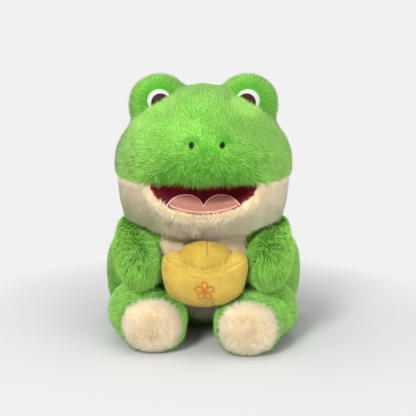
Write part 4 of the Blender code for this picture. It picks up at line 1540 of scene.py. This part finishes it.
# %% Grow it on every panel
SHORT = {
    "Strands per Square Metre": 1.2e6, "Clumps per Square Metre": 3.0e5, "Strand Width": 0.20 * MM,
    "Strand Steps": 1, "Lean": 1.0, "Bend": 0.35, "Clump Pull": 0.18, "Mess": 0.17}
LONG = {
    "Strands per Square Metre": 0.92e6, "Clumps per Square Metre": 1.2e5, "Strand Width": 0.23 * MM,
    "Strand Steps": 2, "Lean": 0.8, "Bend": 0.5, "Clump Pull": 0.6, "Mess": 0.24}
FLUFFY = {
    "Strands per Square Metre": 1.4e6, "Clumps per Square Metre": 1.6e5, "Strand Width": 0.20 * MM,
    "Strand Steps": 2, "Lean": 0.7, "Bend": 0.5, "Clump Pull": 0.5, "Mess": 0.3}
FUZZ = {
    "Strands per Square Metre": 3.6e6, "Clumps per Square Metre": 4.0e5, "Strand Width": 0.135 * MM,
    "Strand Steps": 1, "Lean": 0.5, "Bend": 0.3, "Clump Pull": 0.2, "Mess": 0.8}
LEGS = dict(LONG, **{
    "Strands per Square Metre": 0.56e6, "Clumps per Square Metre": 2.0e5, "Strand Width": 0.25 * MM,
    "Clump Pull": 0.4, "Mess": 0.4})
LOOSE = dict(SHORT, **{
    "Strands per Square Metre": 0.74e6, "Strand Width": 0.24 * MM, "Clump Pull": 0.35, "Mess": 0.35})
SOFT = dict(SHORT, **{
    "Strands per Square Metre": 1.15e6, "Strand Width": 0.21 * MM, "Clump Pull": 0.3, "Mess": 0.2})
GROWTHS = {
    "ingot_boat_skin": (FUZZ, 1), "ingot_dome_skin": (FUZZ, 1),
    "head_crown_skin": (SHORT, 2), "head_back_skin": (SHORT, 1), "jaw_skin": (SOFT, 3),
    "body_skin": (LOOSE, 2), "belly_panel": (SHORT, 1)}
for name in SIDES:
    GROWTHS[f"eye_bump_{name}_skin"] = (SHORT, 1)
    GROWTHS[f"arm_{name}_skin"] = (LONG, 2)
    GROWTHS[f"leg_{name}_skin"] = (LEGS, 2)
    GROWTHS[f"sole_{name}"] = (FLUFFY, 2)
PASS_NAMES = ("first", "second", "third")
PILE_OF_SLOT = {"green_plush": GREEN_PILE, "cream_plush": CREAM_PILE, "yellow_velour": YELLOW_PILE}


def set_inputs(modifier, values):
    """Set a Geometry Nodes modifier's inputs by their names."""
    for item in modifier.node_group.interface.items_tree:
        if item.item_type == "SOCKET" and item.in_out == "INPUT" and item.name in values:
            modifier[item.identifier] = values[item.name]


def grown_mesh(surface, group, values, material, keep):
    """Run a Geometry Nodes tree on a surface and return a plain mesh with the values to keep."""
    holder = new_object("holder", surface)
    modifier = holder.modifiers.new("grow", "NODES")
    modifier.node_group = group
    set_inputs(modifier, values)
    mesh = evaluated_mesh(holder)
    bpy.data.objects.remove(holder)
    spare = [
        value.name for value in mesh.attributes
        if not value.is_required and not value.is_internal and value.name not in keep]
    for name in spare:
        mesh.attributes.remove(mesh.attributes[name])
    mesh.materials.clear()
    mesh.materials.append(material)
    return mesh


def grow(part, panel):
    """Grow the pile of one panel, and let it ride where the panel rides."""
    looks, passes = GROWTHS[panel]
    piece_name, _, slot = PANEL_LOOKS[panel]
    values = dict(looks)
    # Arms take the copy of the green pile that is painted in deeper shade.
    material = SHADED_LONG_GREEN_PILE if panel.startswith("arm") else PILE_OF_SLOT[slot]
    values["Strand Material"] = material
    values["Clump Seed"] = len(piece_name)
    triangles = 0
    for number in range(passes):
        values["Seed"] = 10 * len(piece_name) + number
        mesh = grown_mesh(surfaces[panel], PILE, values, material, ("strand_share", "strand_tone_and_shading"))
        piece = new_object(f"{piece_name}_pile_{PASS_NAMES[number]}", mesh)
        carry(piece, part)
        triangles += sum(len(face.vertices) - 2 for face in mesh.polygons)
    return triangles


pile_triangles = {}
for part, made_of in BODY_PARTS.items():
    for panel in made_of["panels"]:
        if panel in PILES:
            pile_triangles[panel] = grow(part, panel)
print("pile triangles:", pile_triangles, "in all", sum(pile_triangles.values()))

# %% [markdown]
# ## The face
#
# The eyes, their glints and the nostrils are small patches of satin stitch.
# Each is a dome of rings, laid on whatever the camera would meet there: the
# swollen bump or the imported patch, whichever stands further out. The white is
# flat in the middle and falls at its rim, the iris lies inside it with a darker
# edge, and the glint is a small oval. The pile round them is real strands, so it
# overlaps their edges.

# %% Satin patches
PATCH_RINGS = 14
PATCH_SPOKES = 48
PATCH_SINK = 1.2 * MM
PATCH_DEEPEST = 12.0 * MM
IN_FRONT = 0.5


def front_of(trees, x, z):
    """Return how far forward the frontmost surface lies at a place in the front view."""
    hits = [tree.ray_cast(Vector((x, -IN_FRONT, z)), Vector((0, 1, 0)))[0] for tree in trees]
    return min([hit.y for hit in hits if hit is not None], default=None)


def ring_points(middle, half, share):
    """Return one ring of a patch in the front view."""
    turns = [math.tau * spoke / PATCH_SPOKES for spoke in range(PATCH_SPOKES)]
    wide, tall = half[0] * share, half[1] * share
    return [(middle[0] + wide * math.cos(turn), middle[2] + tall * math.sin(turn)) for turn in turns]


def patch_layer(bm, trees, middle, half, rise):
    """Add the rings of one side of a patch; rise gives its height at each share of the radius."""
    start = front_of(trees, middle[0], middle[2])
    hub = bm.verts.new((middle[0], start - rise(0.0), middle[2]))
    depths = [start] * PATCH_SPOKES
    rings = []
    for ring in range(1, PATCH_RINGS + 1):
        share = ring / PATCH_RINGS
        row = []
        for spoke, (x, z) in enumerate(ring_points(middle, half, share)):
            found = front_of(trees, x, z)
            if found is not None and found < start + PATCH_DEEPEST:
                depths[spoke] = found
            row.append(bm.verts.new((x, depths[spoke] - rise(share), z)))
        rings.append(row)
    return hub, rings


def join_layers(bm, front, back):
    """Close a patch: two domes that meet in a rim."""
    for hub, rings in (front, back):
        for spoke in range(PATCH_SPOKES):
            after = (spoke + 1) % PATCH_SPOKES
            bm.faces.new((hub, rings[0][spoke], rings[0][after]))
            for inner, outer in zip(rings, rings[1:]):
                bm.faces.new((inner[spoke], outer[spoke], outer[after], inner[after]))
    for spoke in range(PATCH_SPOKES):
        after = (spoke + 1) % PATCH_SPOKES
        rim, sunk = front[1][-1], back[1][-1]
        bm.faces.new((rim[spoke], sunk[spoke], sunk[after], rim[after]))
    bmesh.ops.recalc_face_normals(bm, faces=bm.faces)


def satin_patch(name, node, material, rise, tone, trees, half=None, drop=0.0):
    """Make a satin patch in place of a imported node."""
    low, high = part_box(node)
    middle = (low + high) / 2 - Vector((0, 0, drop))
    half = half or ((high.x - low.x) / 2, (high.z - low.z) / 2)
    bm = bmesh.new()
    front = patch_layer(bm, trees, middle, half, rise)
    back = patch_layer(bm, trees, middle, half, lambda share: -PATCH_SINK)
    join_layers(bm, front, back)
    mesh = stored(bm, bpy.data.meshes.new(name))
    places, _ = vertex_arrays(mesh)
    across = np.hypot((places[:, 0] - middle.x) / half[0], (places[:, 2] - middle.z) / half[1])
    write_values(mesh, "FLOAT", "thread_tone", tone(np.minimum(across, 1.0)))
    piece = new_object(name, mesh)
    piece.data.shade_smooth()
    piece.data.materials.append(material)
    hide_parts(node)
    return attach(piece, "head")


print("patches have", PATCH_RINGS, "rings")

# %% Eyes and nostrils
WHITE_RISE = 1.0 * MM
IRIS_RISE = 1.6 * MM
GLINT_RISE = 2.0 * MM
NOSTRIL_RISE = 0.9 * MM
IRIS_HALF = 9.2 * MM
IRIS_DROP = 1.3 * MM


def rounded_rise(height, sharpness):
    """Return a dome that is flat in the middle and falls at its rim."""
    return lambda share: height * (1 - share ** sharpness)


def even_tone(across):
    """One tone all over."""
    return np.full(len(across), 0.6)


def iris_tone(across):
    """Darker towards the rim."""
    return 0.9 - 0.9 * across ** 3


for name in SIDES:
    bump = surface_tree(opened(surfaces[f"eye_bump_{name}_skin"]))
    white_trees = (bump, node_tree((f"eye_white_{name}",)))
    satin_patch(f"eye_{name}_white", f"eye_white_{name}", WHITE_SATIN,
                rounded_rise(WHITE_RISE, 8), even_tone, white_trees)
    satin_patch(f"eye_{name}_iris", f"iris_{name}", BROWN_SATIN,
                rounded_rise(IRIS_RISE, 14), iris_tone, white_trees, (IRIS_HALF, IRIS_HALF), IRIS_DROP)
    satin_patch(f"eye_{name}_glint", f"eye_glint_{name}", WHITE_SATIN,
                rounded_rise(GLINT_RISE, 10), even_tone, white_trees)
    nostril_trees = (part_trees["head"],)
    satin_patch(f"nostril_{name}_patch", f"nostril_{name}", BLACK_SATIN,
                rounded_rise(NOSTRIL_RISE, 2), even_tone, nostril_trees)
print("eyes and nostrils sewn")

# %% [markdown]
# ## Tongue, edging and blossom
#
# The tongue is a flat pad of velour at the bottom of the pocket. Its edge and
# the blossom on the ingot are satin stitch: short threads side by side along a
# line. A second Geometry Nodes tree lays such threads along any line that lies
# on a surface, so both are made from a handful of points.

# %% The tongue
TONGUE_SQUARE = 0.7 * MM
TONGUE_SWELL = 0.5 * MM
TONGUE_ROUNDS = 6


def tongue_piece():
    """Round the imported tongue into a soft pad."""
    pad = new_object("tongue_pad", stored(node_mesh(("tongue",)), bpy.data.meshes.new("tongue_pad")))
    swell = pad.modifiers.new("swell", "DISPLACE")
    swell.strength = TONGUE_SWELL
    swell.mid_level = 0.0
    remesh = pad.modifiers.new("squares", "REMESH")
    remesh.mode = "VOXEL"
    remesh.voxel_size = TONGUE_SQUARE
    smooth = pad.modifiers.new("smooth", "SMOOTH")
    smooth.iterations = TONGUE_ROUNDS
    settle(pad)
    pad.data.shade_smooth()
    pad.data.materials.clear()
    pad.data.materials.append(PINK_VELOUR)
    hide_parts("tongue")
    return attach(pad, "head")


tongue = tongue_piece()
print("tongue has", len(tongue.data.polygons), "faces")

# %% Geometry Nodes: a row of satin stitches
STITCH_RINGS = 3
STITCH_SIDES = 6


def satin_inputs(group):
    """Name the satin tree's inputs."""
    group_socket(group, "Line", "Geometry")
    group_socket(group, "Spacing", "Float", value=0.4 * MM)
    group_socket(group, "Row Half Width", "Float", value=0.8 * MM)
    group_socket(group, "Thread Half Width", "Float", value=0.28 * MM)
    group_socket(group, "Row Height", "Float", value=0.5 * MM)
    group_socket(group, "Slant", "Float", value=0.25)
    group_socket(group, "Seed", "Int", value=1)
    group_socket(group, "Thread Material", "Material")
    group_socket(group, "Stitches", "Geometry", "OUTPUT")


def one_stitch(tree):
    """Return a thread that is as long as it is wide, to be stretched."""
    return add_node(tree, "GeometryNodeMeshUVSphere", {
        "Segments": STITCH_SIDES, "Rings": STITCH_RINGS, "Radius": 1.0}).outputs["Mesh"]


def satin_group():
    """Build the tree that lays satin stitches across a line."""
    tree = bpy.data.node_groups.new("satin_row", "GeometryNodeTree")
    satin_inputs(tree)
    start, end = add_node(tree, "NodeGroupInput"), add_node(tree, "NodeGroupOutput")
    given = start.outputs
    curve = add_node(tree, "GeometryNodeMeshToCurve", {"Mesh": given["Line"]}).outputs["Curve"]
    even = add_node(tree, "GeometryNodeCurveToPoints", {"Curve": curve}, mode="LENGTH")
    plug(tree, even.inputs["Length"], given["Spacing"])
    up = panel_value(tree, "up", "FLOAT_VECTOR")
    across = vector_math(tree, "CROSS_PRODUCT", even.outputs["Tangent"], up)
    slanted = vector_math(tree, "SCALE", even.outputs["Tangent"], scale=given["Slant"])
    across = vector_math(tree, "ADD", vector_math(tree, "NORMALIZE", across), slanted)
    turn = add_node(tree, "FunctionNodeAxesToRotation", {
        "Primary Axis": up, "Secondary Axis": across}, primary_axis="Z", secondary_axis="X")
    spread = random_value(tree, 0.9, 1.1, given["Seed"])
    reach = math_node(tree, "MULTIPLY", given["Row Half Width"], spread)
    size = scaled_size(tree, reach, given["Thread Half Width"], given["Row Height"])
    laid = instances(tree, even.outputs["Points"], one_stitch(tree), turn.outputs["Rotation"], size)
    tone = random_value(tree, 0.0, 1.0, given["Seed"])
    toned = keep_value(tree, laid, "thread_tone", tone, "FLOAT", "INSTANCE")
    real = add_node(tree, "GeometryNodeRealizeInstances", {"Geometry": toned}).outputs["Geometry"]
    plug(tree, end.inputs["Stitches"], dressed(tree, real, given["Thread Material"]))
    return tree


SATIN_ROW = satin_group()
print("satin tree:", len(SATIN_ROW.nodes), "nodes")

# %% Lay the tongue's edging
LOBE_HALF = 17.8 * MM
LOBE_TALL = 13.0 * MM
NOTCH_WIDTH = 1.0 * MM
EDGE_STEPS = 40
EDGE_OUT = 0.6 * MM
EDGE_LIFT = 0.7 * MM


def tongue_line():
    """Return the tongue's upper outline in the front view, from one end to the other."""
    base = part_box("tongue")[1].z - LOBE_TALL
    half, tall = LOBE_HALF + EDGE_OUT, LOBE_TALL + EDGE_OUT
    stop = math.pi - math.acos((LOBE_HALF - NOTCH_WIDTH / 2) / half)
    lobe = []
    for step in range(EDGE_STEPS + 1):
        turn = stop * step / EDGE_STEPS
        lobe.append((LOBE_HALF + half * math.cos(turn), base + tall * math.sin(turn)))
    return lobe + [(-x, z) for x, z in reversed(lobe)]


def lie_on(tree, points, lift):
    """Lay front-view points on a surface; return their places and the surface's normals."""
    places, normals = [], []
    for x, z in points:
        hit, normal, _, _ = tree.ray_cast(Vector((x, -IN_FRONT, z)), Vector((0, 1, 0)))
        if hit is None:
            continue
        if normal.y > 0:
            normal = -normal
        places.append(hit + normal * lift)
        normals.append(normal)
    return places, normals


def line_mesh(lines):
    """Return a mesh of bare lines, each a pair of places and normals, with closed or open ends."""
    mesh = bpy.data.meshes.new("line")
    points, edges, ups = [], [], []
    for places, normals, closed in lines:
        first = len(points)
        points.extend(places)
        ups.extend(normals)
        edges.extend((first + n, first + n + 1) for n in range(len(places) - 1))
        if closed:
            edges.append((first + len(places) - 1, first))
    mesh.from_pydata(points, edges, [])
    write_values(mesh, "FLOAT_VECTOR", "up", [list(up) for up in ups])
    return mesh


def satin_rows(name, lines, material, values):
    """Lay satin stitches along lines and return the piece."""
    values["Thread Material"] = material
    mesh = grown_mesh(line_mesh(lines), SATIN_ROW, values, material, ("thread_tone",))
    mesh.name = name
    return new_object(name, mesh)


lining_tree = surface_tree(opened(surfaces["mouth_lining"]))
edge_places, edge_normals = lie_on(lining_tree, tongue_line(), EDGE_LIFT)
edging = satin_rows("tongue_satin_edge", [(edge_places, edge_normals, False)], PINK_SATIN, {
    "Row Half Width": 0.9 * MM, "Row Height": 0.75 * MM})
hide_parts("tongue_edging")
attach(edging, "head")
print("edging lies on", len(edge_places), "points,", len(edging.data.polygons), "faces")

# %% [markdown]
# The ornament on the ingot's front is a plain blossom of five looped petals.

# %% The blossom
PETALS = 5
PETAL_OUT = 5.3 * MM
PETAL_HALF_LONG = 3.2 * MM
PETAL_HALF_WIDE = 2.5 * MM
PETAL_STEPS = 28
HEART_RADIUS = 1.1 * MM
BLOSSOM_LIFT = 0.45 * MM
FIRST_PETAL_TURN = math.radians(90)


def oval(middle, half_long, half_wide, turn, out=0.0):
    """Return a closed oval in the front view, turned, and moved out along its turn."""
    points = []
    for step in range(PETAL_STEPS):
        angle = math.tau * step / PETAL_STEPS
        along = out + half_long * math.cos(angle)
        side = half_wide * math.sin(angle)
        points.append((
            middle.x + along * math.cos(turn) - side * math.sin(turn),
            middle.z + along * math.sin(turn) + side * math.cos(turn)))
    return points


blossom_low, blossom_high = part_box("ingot_blossom")
blossom_middle = (blossom_low + blossom_high) / 2
boat_tree = surface_tree(opened(surfaces["ingot_boat_skin"]))
loops = []
for number in range(PETALS):
    petal_turn = FIRST_PETAL_TURN + math.tau * number / PETALS
    loops.append(oval(blossom_middle, PETAL_HALF_LONG, PETAL_HALF_WIDE, petal_turn, PETAL_OUT))
loops.append(oval(blossom_middle, HEART_RADIUS, HEART_RADIUS, 0.0))
petal_lines = [(*lie_on(boat_tree, loop, BLOSSOM_LIFT), True) for loop in loops]
blossom = satin_rows("ingot_blossom_stitches", petal_lines, ORANGE_SATIN, {
    "Row Half Width": 0.75 * MM, "Row Height": 0.55 * MM})
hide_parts("ingot_blossom")
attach(blossom, "trunk")
print("blossom of", len(loops), "loops,", len(blossom.data.polygons), "faces")

# %% [markdown]
# ## Finish
#
# The working forms have done their job and go. The size of the imported
# model's box is printed.

# %% Clear the forms and write the sizes
for form in forms.values():
    bpy.data.objects.remove(form)
print("packed box", [round(v / MM, 1) for v in (cad_box[1] - cad_box[0])])
